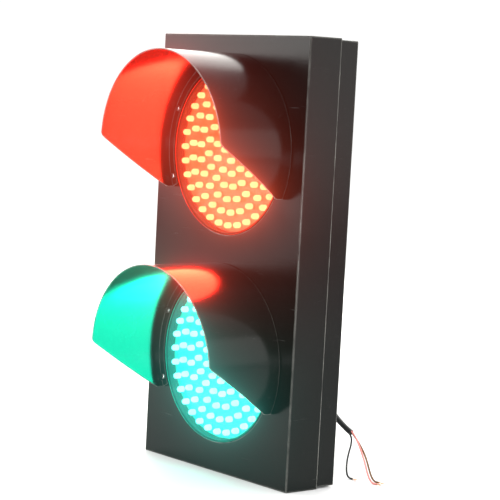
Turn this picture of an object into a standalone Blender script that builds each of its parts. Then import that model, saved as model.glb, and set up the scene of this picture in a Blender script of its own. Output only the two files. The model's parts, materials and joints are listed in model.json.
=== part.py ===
"""LED traffic signal head with two lamps, red over green.

A sheet steel cover carries both lamps and their visors. It closes over a shallower rear tray like
a box lid, swings on two butt hinges at its left side, and is held shut by a captive screw in its
top and bottom edges. The tray holds the terminal block and the cable gland.

Frame: metres, +Z up, +X right as seen from the front, and the lamps face -Y. The origin is the
middle of the housing's underside.
"""

import math

import bmesh
import bpy
from mathutils import Matrix, Vector

# Housing
WIDTH = 0.2645
HEIGHT = 0.510
DEPTH = 0.074
COVER_DEPTH = 0.0465
SHEET = 0.0012
LID_GAP = 0.0007
LID_OVERLAP = 0.010
FOLD_RADIUS = 0.0016
GAP = 0.0003

FRONT_Y = -DEPTH / 2
REAR_Y = DEPTH / 2
SEAM_Y = FRONT_Y + COVER_DEPTH
TRAY_INSET = SHEET + LID_GAP
TRAY_FRONT_Y = SEAM_Y - LID_OVERLAP
TRAY_FLOOR_Y = REAR_Y - SHEET

# Lamps
LAMP_SPACING = 0.243
LAMP_HEIGHTS = {"red": (HEIGHT + LAMP_SPACING) / 2, "green": (HEIGHT - LAMP_SPACING) / 2}
LENS_RADIUS = 0.0976
LENS_FLANGE_RADIUS = 0.103
LENS_EDGE_PROUD = 0.0029
LENS_CROWN = 0.0023
LENS_WALL = 0.002
PANEL_HOLE_RADIUS = 0.0982
BOARD_RADIUS = 0.0946
BOARD_FACE_DEPTH = 0.009
BOARD_THICKNESS = 0.0016
BOWL_DEPTH = 0.038
BOWL_RADIUS = 0.097
LEAD_HOLE_RADIUS = 0.004
LEAD_HOLE_X = -0.060
LEAD_HOLE_RISE = 0.045

# Visors
VISOR_RADIUS = 0.112
VISOR_SHEET = 0.0012
VISOR_FLANGE_INNER = 0.102
VISOR_LENGTH = 0.102
VISOR_LEAN = 0.004
VISOR_RIM_DROP = 0.010
VISOR_CUT_LENGTH = 0.011
VISOR_BASE_DROP = 0.0491
VISOR_CORNER_RADIUS = 0.006
FIXING_RADIUS = 0.1063
FIXING_ANGLES = (25, 155, 200, 340)
FIXING_HOLE = 0.00225

# Hinges, on the left side of the housing
HINGE_HEIGHTS = {"upper": 0.405, "lower": 0.105}
HINGE_LENGTH = 0.060
KNUCKLE_RADIUS = 0.003
LEAF_THICKNESS = 0.0012
PIN_RADIUS = 0.0016
PIN_BORE = 0.00165
HINGE_X = -WIDTH / 2 - GAP - KNUCKLE_RADIUS
HINGE_Y = SEAM_Y

# Captive screws that hold the cover shut
LID_SCREW_X = 0.095
LID_SCREW_Y = SEAM_Y - 0.005
LID_SCREW_HEAD = 0.0036
LID_SCREW_RADIUS = 0.002
LID_NOTCH_HALF = 0.0027

# Wiring
TERMINAL_X = -0.045
TERMINAL_Z = 0.255
TERMINAL_SIZE = Vector((0.060, 0.020, 0.024))
POLE_OFFSETS = (-0.022, -0.008, 0.008, 0.022)
TERMINAL_SCREW_OFFSETS = {"left": -0.015, "right": 0.015}
GLAND_X = -0.020
GLAND_Z = 0.120
GLAND_MOUTH = 0.0195
CABLE_RADIUS = 0.0035
CORE_RADIUS = 0.0011
LEAD_RADIUS = 0.0018

# The free cable: straight out of the gland, then falling to the right behind the housing.
CABLE_ROUTE = (
    (GLAND_X, REAR_Y + GLAND_MOUTH + GAP, GLAND_Z),
    (-0.0200, 0.0640, 0.1200),
    (-0.0200, 0.0715, 0.1200),
    (-0.0180, 0.0820, 0.1193),
    (-0.0120, 0.0915, 0.1172),
    (-0.0020, 0.0980, 0.1130),
    (0.0095, 0.1005, 0.1062),
    (0.0220, 0.1006, 0.0975),
    (0.0340, 0.0995, 0.0882),
    (0.0460, 0.0980, 0.0787),
    (0.0580, 0.0963, 0.0702),
    (0.0700, 0.0947, 0.0636),
    (0.0810, 0.0934, 0.0586),
    (0.0900, 0.0925, 0.0550),
    (0.0970, 0.0920, 0.0523),
)

MATERIALS = {
    "black_paint": ((0.028, 0.029, 0.027), 0.28, 0.0),
    "zinc": ((0.62, 0.63, 0.62), 0.35, 1.0),
    "steel": ((0.55, 0.55, 0.54), 0.30, 1.0),
    "red_lens": ((0.92, 0.12, 0.06), 0.15, 0.0),
    "green_lens": ((0.05, 0.85, 0.62), 0.15, 0.0),
    "circuit_board": ((0.05, 0.16, 0.08), 0.50, 0.0),
    "black_plastic": ((0.03, 0.03, 0.03), 0.50, 0.0),
    "potting": ((0.06, 0.06, 0.07), 0.40, 0.0),
    "rubber": ((0.02, 0.02, 0.02), 0.80, 0.0),
    "cream_plastic": ((0.80, 0.77, 0.68), 0.45, 0.0),
    "black_sheath": ((0.025, 0.025, 0.025), 0.45, 0.0),
    "brown_sheath": ((0.16, 0.08, 0.04), 0.45, 0.0),
    "pink_sheath": ((0.75, 0.32, 0.32), 0.45, 0.0),
}

TO_FRONT = Matrix.Rotation(math.radians(90), 4, "X")
TO_REAR = Matrix.Rotation(math.radians(-90), 4, "X")
UPWARDS = Matrix.Identity(4)
DOWNWARDS = Matrix.Rotation(math.radians(180), 4, "X")


# ---------------------------------------------------------------- helpers


def clear_scene():
    for obj in list(bpy.data.objects):
        bpy.data.objects.remove(obj, do_unlink=True)


def make_collection(name):
    collection = bpy.data.collections.new(name)
    bpy.context.scene.collection.children.link(collection)
    return collection


def make_material(name):
    colour, roughness, metallic = MATERIALS[name]
    material = bpy.data.materials.new(name)
    material.use_nodes = True
    shader = material.node_tree.nodes["Principled BSDF"]
    shader.inputs["Base Color"].default_value = (*colour, 1.0)
    shader.inputs["Roughness"].default_value = roughness
    shader.inputs["Metallic"].default_value = metallic
    return material


def at(x, y, z, turn=UPWARDS):
    """A place for an object: a position and a turn."""
    return Matrix.Translation((x, y, z)) @ turn


def place(name, data, matrix, material, axis=None):
    """Adds one sub-part. Its material is its own, and axis is the empty that it turns with."""
    obj = bpy.data.objects.new(name, data)
    parts.objects.link(obj)
    obj.matrix_world = matrix
    own = make_material(material)
    own.name = f"{name}_{material}"
    data.materials.clear()
    data.materials.append(own)
    if axis:
        obj.parent = axis
        obj.matrix_parent_inverse = Matrix.Translation(axis.location).inverted()
    return obj


def add_cylinder(bm, radius, low, high, matrix=UPWARDS, sides=16, top_radius=None):
    """Adds a closed cylinder or cone to a bmesh, along local Z from low to high."""
    shift = Matrix.Translation((0, 0, (low + high) / 2))
    bmesh.ops.create_cone(
        bm,
        cap_ends=True,
        segments=sides,
        radius1=radius,
        radius2=radius if top_radius is None else top_radius,
        depth=high - low,
        matrix=matrix @ shift,
    )


def add_box(bm, low, high, matrix=UPWARDS):
    """Adds a closed box to a bmesh, from its lowest to its highest corner."""
    low = Vector(low)
    high = Vector(high)
    size = high - low
    scale = Matrix.Diagonal((*size, 1.0))
    bmesh.ops.create_cube(bm, size=1.0, matrix=matrix @ Matrix.Translation((low + high) / 2) @ scale)


def mesh_from(bm, name, smooth=False):
    mesh = bpy.data.meshes.new(name)
    bm.to_mesh(mesh)
    bm.free()
    if smooth:
        mesh.shade_smooth()
        mesh.set_sharp_from_angle(angle=math.radians(30))
    return mesh


def hidden(name, mesh, matrix):
    """A cutter, or a shape to be joined on: not a sub-part itself."""
    obj = bpy.data.objects.new(name, mesh)
    cutters.objects.link(obj)
    obj.matrix_world = matrix
    obj.hide_render = True
    obj.display_type = "WIRE"
    return obj


def combine(obj, bm, operation, label):
    """Cuts the bmesh's solids out of obj, or joins them on. They are in obj's own frame."""
    other = hidden(f"{obj.name}_{label}", mesh_from(bm, f"{obj.name}_{label}"), obj.matrix_world)
    other.parent = obj.parent
    other.matrix_parent_inverse = obj.matrix_parent_inverse
    modifier = obj.modifiers.new(label, "BOOLEAN")
    modifier.operation = operation
    modifier.solver = "EXACT"
    modifier.object = other


def turned(name, profile, matrix, material, axis=None, steps=32):
    """A turned sub-part. The profile's (radius, height) points run down its outer side.

    It starts and ends on the axis, or is a closed loop that never meets it.
    """
    mesh = bpy.data.meshes.new(name)
    points = [(radius, 0.0, height) for radius, height in profile]
    edges = [(i, i + 1) for i in range(len(points) - 1)]
    if profile[0][0] > 0.0:
        edges.append((len(points) - 1, 0))
    mesh.from_pydata(points, edges, [])
    obj = place(name, mesh, matrix, material, axis)
    screw = obj.modifiers.new("turn", "SCREW")
    screw.axis = "Z"
    screw.steps = steps
    screw.render_steps = steps
    screw.use_merge_vertices = True
    screw.merge_threshold = 0.00001
    screw.use_smooth_shade = False
    return obj


def flat_plate(outline, low, high):
    """A closed mesh: a flat outline in XY, filled and given its thickness from low to high."""
    curve = bpy.data.curves.new("plate", "CURVE")
    curve.dimensions = "2D"
    curve.fill_mode = "BOTH"
    curve.extrude = (high - low) / 2
    spline = curve.splines.new("POLY")
    spline.points.add(len(outline) - 1)
    for point, (x, y) in zip(spline.points, outline):
        point.co = (x, y, 0.0, 1.0)
    spline.use_cyclic_u = True
    guide = bpy.data.objects.new("plate", curve)
    bpy.context.scene.collection.objects.link(guide)
    bpy.context.view_layer.update()
    graph = bpy.context.evaluated_depsgraph_get()
    mesh = bpy.data.meshes.new_from_object(guide.evaluated_get(graph))
    bpy.data.objects.remove(guide, do_unlink=True)
    bm = bmesh.new()
    bm.from_mesh(mesh)
    bpy.data.meshes.remove(mesh)
    bmesh.ops.remove_doubles(bm, verts=bm.verts, dist=0.000001)
    bmesh.ops.translate(bm, verts=bm.verts, vec=(0, 0, (low + high) / 2))
    bmesh.ops.recalc_face_normals(bm, faces=bm.faces)
    return bm


def folded_tray(name, low, high, open_side, material, axis=None):
    """Sheet metal folded into a box with one open side, +1 for the side at +Y or -1 for -Y."""
    bm = bmesh.new()
    add_box(bm, low, high)
    gone = [face for face in bm.faces if face.normal.y * open_side > 0.9]
    bmesh.ops.delete(bm, geom=gone, context="FACES_ONLY")
    obj = place(name, mesh_from(bm, name), at(0, 0, 0), material, axis)
    bevel = obj.modifiers.new("folds", "BEVEL")
    bevel.width = FOLD_RADIUS
    bevel.segments = 1
    bevel.limit_method = "ANGLE"
    solid = obj.modifiers.new("sheet", "SOLIDIFY")
    solid.thickness = SHEET
    solid.offset = -1.0
    solid.use_even_offset = True
    return obj


def smooth_route(points, spacing):
    """Points at an even spacing along a smooth curve through the given ones."""
    points = [Vector(point) for point in points]
    points = [2 * points[0] - points[1], *points, 2 * points[-1] - points[-2]]
    fine = []
    for a, b, c, d in zip(points, points[1:], points[2:], points[3:]):
        for step in range(24):
            t = step / 24
            fine.append(
                0.5
                * (
                    2 * b
                    + (c - a) * t
                    + (2 * a - 5 * b + 4 * c - d) * t**2
                    + (3 * b - a - 3 * c + d) * t**3
                )
            )
    fine.append(points[-2])
    lengths = [0.0]
    for first, second in zip(fine, fine[1:]):
        lengths.append(lengths[-1] + (second - first).length)
    count = max(2, round(lengths[-1] / spacing))
    even = []
    index = 0
    for step in range(count + 1):
        wanted = lengths[-1] * step / count
        while index < len(fine) - 2 and lengths[index + 1] < wanted:
            index += 1
        share = (wanted - lengths[index]) / (lengths[index + 1] - lengths[index])
        even.append(fine[index].lerp(fine[index + 1], min(max(share, 0.0), 1.0)))
    return even


def tube(name, route, radius, material, resolution=2, spacing=3.0):
    """A cable or a core: a round tube along a smooth route, with a point every few diameters."""
    curve = bpy.data.curves.new(name, "CURVE")
    curve.dimensions = "3D"
    curve.bevel_depth = radius
    curve.bevel_resolution = resolution
    curve.use_fill_caps = True
    points = smooth_route(route, spacing * 2 * radius)
    spline = curve.splines.new("POLY")
    spline.points.add(len(points) - 1)
    for point, position in zip(spline.points, points):
        point.co = (*position, 1.0)
    return place(name, curve, at(0, 0, 0), material)


def round_the_axis(radius, angle, height=0.0):
    """A place in a lamp's own frame, turned so that its X points away from the lamp's axis."""
    return Matrix.Rotation(angle, 4, "Z") @ Matrix.Translation((radius, 0, height))


# ---------------------------------------------------------------- housing


def make_cover(axis):
    cover = folded_tray(
        "front_cover",
        (-WIDTH / 2, FRONT_Y, 0),
        (WIDTH / 2, SEAM_Y, HEIGHT),
        1,
        "black_paint",
        axis,
    )
    holes = bmesh.new()
    for height in LAMP_HEIGHTS.values():
        lamp = at(0, FRONT_Y, height, TO_FRONT)
        add_cylinder(holes, PANEL_HOLE_RADIUS, -0.004, 0.004, lamp, 48)
        for angle in FIXING_ANGLES:
            spot = lamp @ round_the_axis(FIXING_RADIUS, math.radians(angle))
            add_cylinder(holes, FIXING_HOLE, -0.004, 0.004, spot, 10)
    combine(cover, holes, "DIFFERENCE", "lamp_holes")
    sinks = bmesh.new()
    reach = LID_SCREW_HEAD + 0.0004
    for turn, height in ((UPWARDS, HEIGHT), (DOWNWARDS, 0)):
        spot = at(LID_SCREW_X, LID_SCREW_Y, height, turn)
        add_cylinder(sinks, reach - 0.0015, -0.0016, 0.0003, spot, 24, reach + 0.0004)
    combine(cover, sinks, "DIFFERENCE", "screw_sinks")


def make_seal(axis):
    outer = SHEET + 2 * GAP
    inner = outer + 0.006
    back = TRAY_FRONT_Y - GAP
    bm = bmesh.new()
    add_box(bm, (outer - WIDTH / 2, back - 0.006, outer), (WIDTH / 2 - outer, back, HEIGHT - outer))
    seal = place("door_seal", mesh_from(bm, "door_seal"), at(0, 0, 0), "rubber", axis)
    middle = bmesh.new()
    add_box(middle, (inner - WIDTH / 2, back - 0.01, inner), (WIDTH / 2 - inner, back + 0.01, HEIGHT - inner))
    combine(seal, middle, "DIFFERENCE", "middle")


def make_tray():
    tray = folded_tray(
        "rear_tray",
        (TRAY_INSET - WIDTH / 2, TRAY_FRONT_Y, TRAY_INSET),
        (WIDTH / 2 - TRAY_INSET, REAR_Y, HEIGHT - TRAY_INSET),
        -1,
        "black_paint",
    )
    holes = bmesh.new()
    for x in (-0.080, 0.080):
        for height in (0.440, 0.060):
            spot = at(x, REAR_Y, height, TO_REAR)
            add_cylinder(holes, 0.0055, -0.004, 0.004, spot, 20)
            throat = at(x, REAR_Y, height + 0.011, TO_REAR)
            add_cylinder(holes, 0.00275, -0.0041, 0.0041, throat, 16)
    combine(tray, holes, "DIFFERENCE", "keyholes")
    slots = bmesh.new()
    for x in (-0.080, 0.080):
        for height in (0.440, 0.060):
            low = (x - 0.0026, REAR_Y - 0.0039, height + 0.003)
            add_box(slots, low, (x + 0.0026, REAR_Y + 0.0039, height + 0.0112))
    combine(tray, slots, "DIFFERENCE", "keyhole_slots")
    more = bmesh.new()
    add_cylinder(more, 0.0079, -0.004, 0.004, at(GLAND_X, REAR_Y, GLAND_Z, TO_REAR), 24)
    for offset in TERMINAL_SCREW_OFFSETS.values():
        spot = at(TERMINAL_X + offset, REAR_Y, TERMINAL_Z, TO_REAR)
        add_cylinder(more, 0.0017, -0.004, 0.004, spot, 12)
    for height in (TRAY_INSET, HEIGHT - TRAY_INSET):
        low = (LID_SCREW_X - LID_NOTCH_HALF, TRAY_FRONT_Y - 0.002, height - 0.004)
        high = (LID_SCREW_X + LID_NOTCH_HALF, LID_SCREW_Y + LID_NOTCH_HALF, height + 0.004)
        add_box(more, low, high)
    combine(tray, more, "DIFFERENCE", "openings")


def make_hinge(place_name, height, axis):
    """One butt hinge: a leaf on the cover, a joggled leaf on the tray, and the pin."""
    third = HINGE_LENGTH / 3
    half = HINGE_LENGTH / 2
    near = KNUCKLE_RADIUS
    far = near - LEAF_THICKNESS
    spot = at(HINGE_X, HINGE_Y, height)

    tongue = ((far, -0.006), (near, -0.006), (near, 0.0), (far, 0.0))
    plate = ((far, -0.024), (near, -0.024), (near, -0.004), (far, -0.004))
    leaf = place(
        f"{place_name}_hinge_cover_leaf",
        mesh_from(flat_plate(plate, -half, half), "cover_leaf"),
        spot,
        "black_paint",
        axis,
    )
    combine(leaf, flat_plate(tongue, GAP - third / 2, third / 2 - GAP), "UNION", "tongue")
    knuckle = bmesh.new()
    add_cylinder(knuckle, KNUCKLE_RADIUS, GAP - third / 2, third / 2 - GAP, UPWARDS, 24)
    combine(leaf, knuckle, "UNION", "knuckle")
    bore = bmesh.new()
    add_cylinder(bore, PIN_BORE, -third, third, UPWARDS, 24)
    combine(leaf, bore, "DIFFERENCE", "bore")

    wall = -WIDTH / 2 + TRAY_INSET - GAP - HINGE_X
    back = 0.0245
    plate = ((wall - LEAF_THICKNESS, 0.0048), (wall, 0.0048), (wall, back), (wall - LEAF_THICKNESS, back))
    leaf = place(
        f"{place_name}_hinge_tray_leaf",
        mesh_from(flat_plate(plate, -half, half), "tray_leaf"),
        spot,
        "black_paint",
    )
    joggle = (
        (far, 0.0),
        (near, 0.0),
        (near, 0.0022),
        (wall, 0.0044),
        (wall, 0.0060),
        (wall - LEAF_THICKNESS, 0.0060),
        (wall - LEAF_THICKNESS, 0.0052),
        (far, 0.0028),
    )
    for label, low, high in (("low", -half, -third / 2 - GAP), ("high", third / 2 + GAP, half)):
        combine(leaf, flat_plate(joggle, low, high), "UNION", f"{label}_tongue")
        knuckle = bmesh.new()
        add_cylinder(knuckle, KNUCKLE_RADIUS, low, high, UPWARDS, 24)
        combine(leaf, knuckle, "UNION", f"{label}_knuckle")
    bore = bmesh.new()
    add_cylinder(bore, PIN_BORE, -HINGE_LENGTH, HINGE_LENGTH, UPWARDS, 24)
    combine(leaf, bore, "DIFFERENCE", "bore")

    head = half + GAP
    profile = (
        (0.0, head + 0.0014),
        (0.0020, head + 0.0014),
        (0.0026, head + 0.0008),
        (0.0026, head),
        (PIN_RADIUS, head),
        (PIN_RADIUS, -half - 0.001),
        (0.0, -half - 0.001),
    )
    turned(f"{place_name}_hinge_pin", profile, spot, "zinc", steps=24)


def make_lid_screw(edge, height, turn):
    """A captive countersunk screw in the cover's edge, with its nut, each on its own turning axis."""
    spot = at(LID_SCREW_X, LID_SCREW_Y, height, turn)
    top = -0.0001
    neck = top - (LID_SCREW_HEAD - LID_SCREW_RADIUS)
    profile = (
        (0.0, top),
        (LID_SCREW_HEAD, top),
        (LID_SCREW_RADIUS, neck),
        (LID_SCREW_RADIUS, -0.0095),
        (0.0, -0.0095),
    )
    axis = bpy.data.objects.new(f"{edge}_lid_screw_axis", None)
    axis.location = spot.translation
    parts.objects.link(axis)
    screw = turned(f"{edge}_lid_screw", profile, spot, "steel", axis, 24)
    socket = bmesh.new()
    add_cylinder(socket, 0.00145, -0.0012, 0.001, UPWARDS, 6)
    combine(screw, socket, "DIFFERENCE", "socket")

    under = -TRAY_INSET - SHEET - GAP
    nut = bmesh.new()
    add_cylinder(nut, 0.00404, under - 0.0032, under, UPWARDS, 6)
    nut = place(f"{edge}_lid_nut", mesh_from(nut, "lid_nut"), spot, "zinc", cover_axis)
    bore = bmesh.new()
    add_cylinder(bore, 0.0021, -0.02, 0.0, UPWARDS, 24)
    combine(nut, bore, "DIFFERENCE", "bore")


# ---------------------------------------------------------------- lamps


def make_lens(colour, lamp, axis):
    edge = LENS_EDGE_PROUD
    crown = edge + LENS_CROWN
    inner = LENS_RADIUS - LENS_WALL
    seat = -SHEET - GAP - 0.0012 - GAP
    profile = (
        (0.0, crown),
        (0.050, crown - 0.0006),
        (LENS_RADIUS - 0.0012, edge),
        (LENS_RADIUS, edge - 0.0009),
        (LENS_RADIUS, seat),
        (LENS_FLANGE_RADIUS, seat),
        (LENS_FLANGE_RADIUS, seat - LENS_WALL),
        (inner, seat - LENS_WALL),
        (inner, edge - 0.0023),
        (0.050, crown - 0.0027),
        (0.0, crown - 0.0022),
    )
    turned(f"{colour}_lens", profile, lamp, f"{colour}_lens", axis)
    front = -SHEET - GAP
    ring = ((0.0989, front), (LENS_FLANGE_RADIUS, front), (LENS_FLANGE_RADIUS, front - 0.0012), (0.0989, front - 0.0012))
    turned(f"{colour}_lens_gasket", ring, lamp, "rubber", axis)


def make_board(colour, lamp, axis):
    face = -BOARD_FACE_DEPTH
    back = face - BOARD_THICKNESS
    profile = ((0.0, face), (BOARD_RADIUS, face), (BOARD_RADIUS, back), (0.0, back))
    turned(f"{colour}_led_board", profile, lamp, "circuit_board", axis)


def make_bowl(colour, lamp, lead_rise, axis):
    flange = -SHEET - 0.0041
    floor = -BOWL_DEPTH
    profile = (
        (0.0, floor + 0.002),
        (0.0948, floor + 0.002),
        (0.0948, -0.0132),
        (0.0920, -0.0129),
        (0.0920, -0.0109),
        (0.0950, -0.0109),
        (0.0950, flange),
        (LENS_FLANGE_RADIUS, flange),
        (LENS_FLANGE_RADIUS, flange - 0.002),
        (BOWL_RADIUS, flange - 0.002),
        (BOWL_RADIUS, floor + 0.001),
        (BOWL_RADIUS - 0.0015, floor),
        (0.0, floor),
    )
    bowl = turned(f"{colour}_lamp_bowl", profile, lamp, "black_plastic", axis)
    hole = bmesh.new()
    spot = Matrix.Translation((LEAD_HOLE_X, lead_rise, floor))
    add_cylinder(hole, LEAD_HOLE_RADIUS, -0.005, 0.005, spot, 16)
    combine(bowl, hole, "DIFFERENCE", "lead_hole")

    bm = bmesh.new()
    add_box(bm, (-0.020, -0.019, floor + 0.0023), (0.044, 0.019, floor + 0.018))
    driver = place(f"{colour}_driver", mesh_from(bm, "driver"), lamp, "potting", axis)
    bevel = driver.modifiers.new("edges", "BEVEL")
    bevel.width = 0.0015
    bevel.segments = 1


def visor_cut_outline():
    """What is cut away from a visor in side view, as (out from the panel, above the lamp's axis).

    The rim leans forward towards its top. From its lower corner, which is rounded, the edge runs
    back and down in a straight line, and then square to the panel.
    """
    corner = Vector((VISOR_LENGTH, VISOR_RIM_DROP))
    heel = Vector((VISOR_CUT_LENGTH, -VISOR_BASE_DROP))
    top = Vector((VISOR_LENGTH + 1.15 * VISOR_LEAN, VISOR_RIM_DROP + 0.115))
    back = (heel - corner).normalized()
    up = (top - corner).normalized()
    half_angle = back.angle(up) / 2
    centre = corner + (back + up).normalized() * VISOR_CORNER_RADIUS / math.sin(half_angle)
    start = corner + back * VISOR_CORNER_RADIUS / math.tan(half_angle)
    end = corner + up * VISOR_CORNER_RADIUS / math.tan(half_angle)
    first = (start - centre).to_2d()
    sweep = first.angle_signed(end - centre)
    arc = []
    for step in range(6):
        turn = Matrix.Rotation(-sweep * step / 5, 2)
        arc.append(tuple(centre + turn @ first))
    far = 0.130
    return [(-0.005, heel.y), tuple(heel), *arc, tuple(top), (far, top.y), (far, -far), (-0.005, -far)]


def make_visor(colour, lamp, axis):
    inner = VISOR_RADIUS - VISOR_SHEET
    front = VISOR_LENGTH + 2 * VISOR_LEAN
    base = GAP + VISOR_SHEET
    profile = (
        (inner, front),
        (VISOR_RADIUS, front),
        (VISOR_RADIUS, GAP),
        (VISOR_FLANGE_INNER, GAP),
        (VISOR_FLANGE_INNER, base),
        (inner, base),
    )
    visor = turned(f"{colour}_visor", profile, lamp, "black_paint", axis, 48)
    side = flat_plate(visor_cut_outline(), -0.13, 0.13)
    # The outline's x is the lamp frame's Z, and its y the lamp frame's Y.
    to_lamp = Matrix(((0, 0, -1, 0), (0, 1, 0, 0), (1, 0, 0, 0), (0, 0, 0, 1)))
    bmesh.ops.transform(side, matrix=to_lamp, verts=side.verts)
    bmesh.ops.recalc_face_normals(side, faces=side.faces)
    combine(visor, side, "DIFFERENCE", "side_cut")
    holes = bmesh.new()
    for angle in FIXING_ANGLES:
        spot = round_the_axis(FIXING_RADIUS, math.radians(angle))
        add_cylinder(holes, FIXING_HOLE, -0.001, 0.004, spot, 10)
    combine(visor, holes, "DIFFERENCE", "screw_holes")


def make_fixings(colour, lamp, axis):
    """The screws through each visor's flange and the panel, each into a clip on the lamp's flange."""
    seat = 2 * GAP + VISOR_SHEET
    profile = (
        (0.0, seat + 0.0024),
        (0.0024, seat + 0.0024),
        (0.0035, seat + 0.0014),
        (0.0035, seat),
        (0.0020, seat),
        (0.0020, -0.0130),
        (0.0, -0.0130),
    )
    for number, angle in enumerate(FIXING_ANGLES, 1):
        spot = lamp @ round_the_axis(FIXING_RADIUS, math.radians(angle))
        screw = turned(f"{colour}_fixing_screw_{number}", profile, spot, "steel", axis, 10)
        slot = bmesh.new()
        add_box(slot, (-0.0005, -0.005, seat + 0.0013), (0.0005, 0.005, seat + 0.005))
        combine(screw, slot, "DIFFERENCE", "slot")

        foot = LENS_FLANGE_RADIUS - 0.004 - FIXING_RADIUS
        far = 0.0087
        front = -0.0076
        back = front - 0.0012
        bm = bmesh.new()
        add_box(bm, (foot, -0.006, back), (far, 0.006, front))
        clip = place(f"{colour}_lamp_clip_{number}", mesh_from(bm, "clip"), spot, "zinc", axis)
        leg = bmesh.new()
        add_box(leg, (far - 0.0012, -0.0059, back + 0.0002), (far + 0.0001, 0.0059, -SHEET - GAP))
        combine(clip, leg, "UNION", "leg")
        boss = bmesh.new()
        add_cylinder(boss, 0.0036, back - 0.0035, back + 0.0006, UPWARDS, 8)
        combine(clip, boss, "UNION", "weld_nut")
        bore = bmesh.new()
        add_cylinder(bore, 0.00218, -0.02, 0.0, UPWARDS, 10)
        combine(clip, bore, "DIFFERENCE", "bore")


def make_lamp(colour, height, axis):
    lamp = at(0, FRONT_Y, height, TO_FRONT)
    towards_middle = LEAD_HOLE_RISE if height < HEIGHT / 2 else -LEAD_HOLE_RISE
    make_lens(colour, lamp, axis)
    make_board(colour, lamp, axis)
    make_bowl(colour, lamp, towards_middle, axis)
    make_visor(colour, lamp, axis)
    make_fixings(colour, lamp, axis)


# ---------------------------------------------------------------- wiring


def make_terminal_block():
    half_width = TERMINAL_SIZE.x / 2
    half_height = TERMINAL_SIZE.z / 2
    base = TRAY_FLOOR_Y - GAP
    front = base - TERMINAL_SIZE.y
    bm = bmesh.new()
    add_box(bm, (-half_width, front, -half_height), (half_width, base, half_height))
    block = place("terminal_block", mesh_from(bm, "terminal_block"), at(TERMINAL_X, 0, TERMINAL_Z), "cream_plastic")
    holes = bmesh.new()
    for offset in POLE_OFFSETS:
        entry = base - 0.006
        for direction in (1, -1):
            mouth = at(offset, entry, direction * half_height)
            add_cylinder(holes, 0.0022, -0.007, 0.007, mouth, 8)
        clamp = at(offset, front, 0, TO_FRONT)
        add_cylinder(holes, 0.0026, -0.004, 0.004, clamp, 8)
    for offset in TERMINAL_SCREW_OFFSETS.values():
        spot = at(offset, 0, 0, TO_FRONT)
        add_cylinder(holes, 0.0017, -0.05, 0.01, spot, 12)
    combine(block, holes, "DIFFERENCE", "holes")
    waist = bmesh.new()
    for direction in (1, -1):
        step = at(0, front, direction * half_height)
        add_box(waist, (-0.05, -0.01, -0.005), (0.05, 0.008, 0.005), step)
    combine(block, waist, "DIFFERENCE", "shoulders")

    for side, offset in TERMINAL_SCREW_OFFSETS.items():
        spot = at(TERMINAL_X + offset, front, TERMINAL_Z, TO_FRONT)
        profile = (
            (0.0, 0.0019),
            (0.0019, 0.0019),
            (0.0027, 0.0012),
            (0.0027, GAP),
            (0.0015, GAP),
            (0.0015, -TERMINAL_SIZE.y - 0.0011),
            (0.0, -TERMINAL_SIZE.y - 0.0011),
        )
        turned(f"terminal_screw_{side}", profile, spot, "zinc", steps=12)


def make_gland():
    spot = at(GLAND_X, REAR_Y, GLAND_Z, TO_REAR)
    profile = (
        (0.0060, 0.0140),
        (0.0076, 0.0140),
        (0.0076, 0.0040),
        (0.0075, -0.0120),
        (0.0042, -0.0120),
        (0.0042, 0.0080),
        (0.0060, 0.0080),
    )
    body = turned("gland_body", profile, spot, "black_plastic", steps=16)
    hexagon = bmesh.new()
    add_cylinder(hexagon, 0.01155, GAP, 0.0053, UPWARDS, 6)
    combine(body, hexagon, "UNION", "hexagon")
    bore = bmesh.new()
    add_cylinder(bore, 0.00419, -0.02, 0.0079, UPWARDS, 16)
    combine(body, bore, "DIFFERENCE", "bore")

    bm = bmesh.new()
    add_cylinder(bm, 0.01097, -0.0045, -SHEET - GAP, UPWARDS, 6)
    nut = place("gland_locknut", mesh_from(bm, "gland_locknut"), spot, "black_plastic")
    bore = bmesh.new()
    add_cylinder(bore, 0.0077, -0.02, 0.02, UPWARDS, 24)
    combine(nut, bore, "DIFFERENCE", "bore")

    ring = ((0.0038, 0.0155), (0.0056, 0.0155), (0.0056, 0.0083), (0.0038, 0.0083))
    turned("gland_seal", ring, spot, "rubber", steps=16)

    axis = bpy.data.objects.new("gland_nut_axis", None)
    axis.location = spot.translation
    parts.objects.link(axis)
    profile = (
        (0.0, GLAND_MOUTH),
        (0.0058, GLAND_MOUTH),
        (0.0082, 0.0178),
        (0.0098, 0.0145),
        (0.0100, 0.0056),
        (0.0, 0.0056),
    )
    dome = turned("gland_dome_nut", profile, spot, "black_plastic", axis, 16)
    hexagon = bmesh.new()
    add_cylinder(hexagon, 0.01135, 0.0056, 0.0112, UPWARDS, 6)
    combine(dome, hexagon, "UNION", "hexagon")
    bore = bmesh.new()
    add_cylinder(bore, 0.0079, -0.001, 0.0145, UPWARDS, 24)
    combine(dome, bore, "DIFFERENCE", "thread_bore")
    throat = bmesh.new()
    add_cylinder(throat, 0.0062, 0.0144, 0.0160, UPWARDS, 24)
    combine(dome, throat, "DIFFERENCE", "seal_seat")
    mouth = bmesh.new()
    add_cylinder(mouth, 0.0039, 0.0155, 0.03, UPWARDS, 24)
    combine(dome, mouth, "DIFFERENCE", "mouth")


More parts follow.
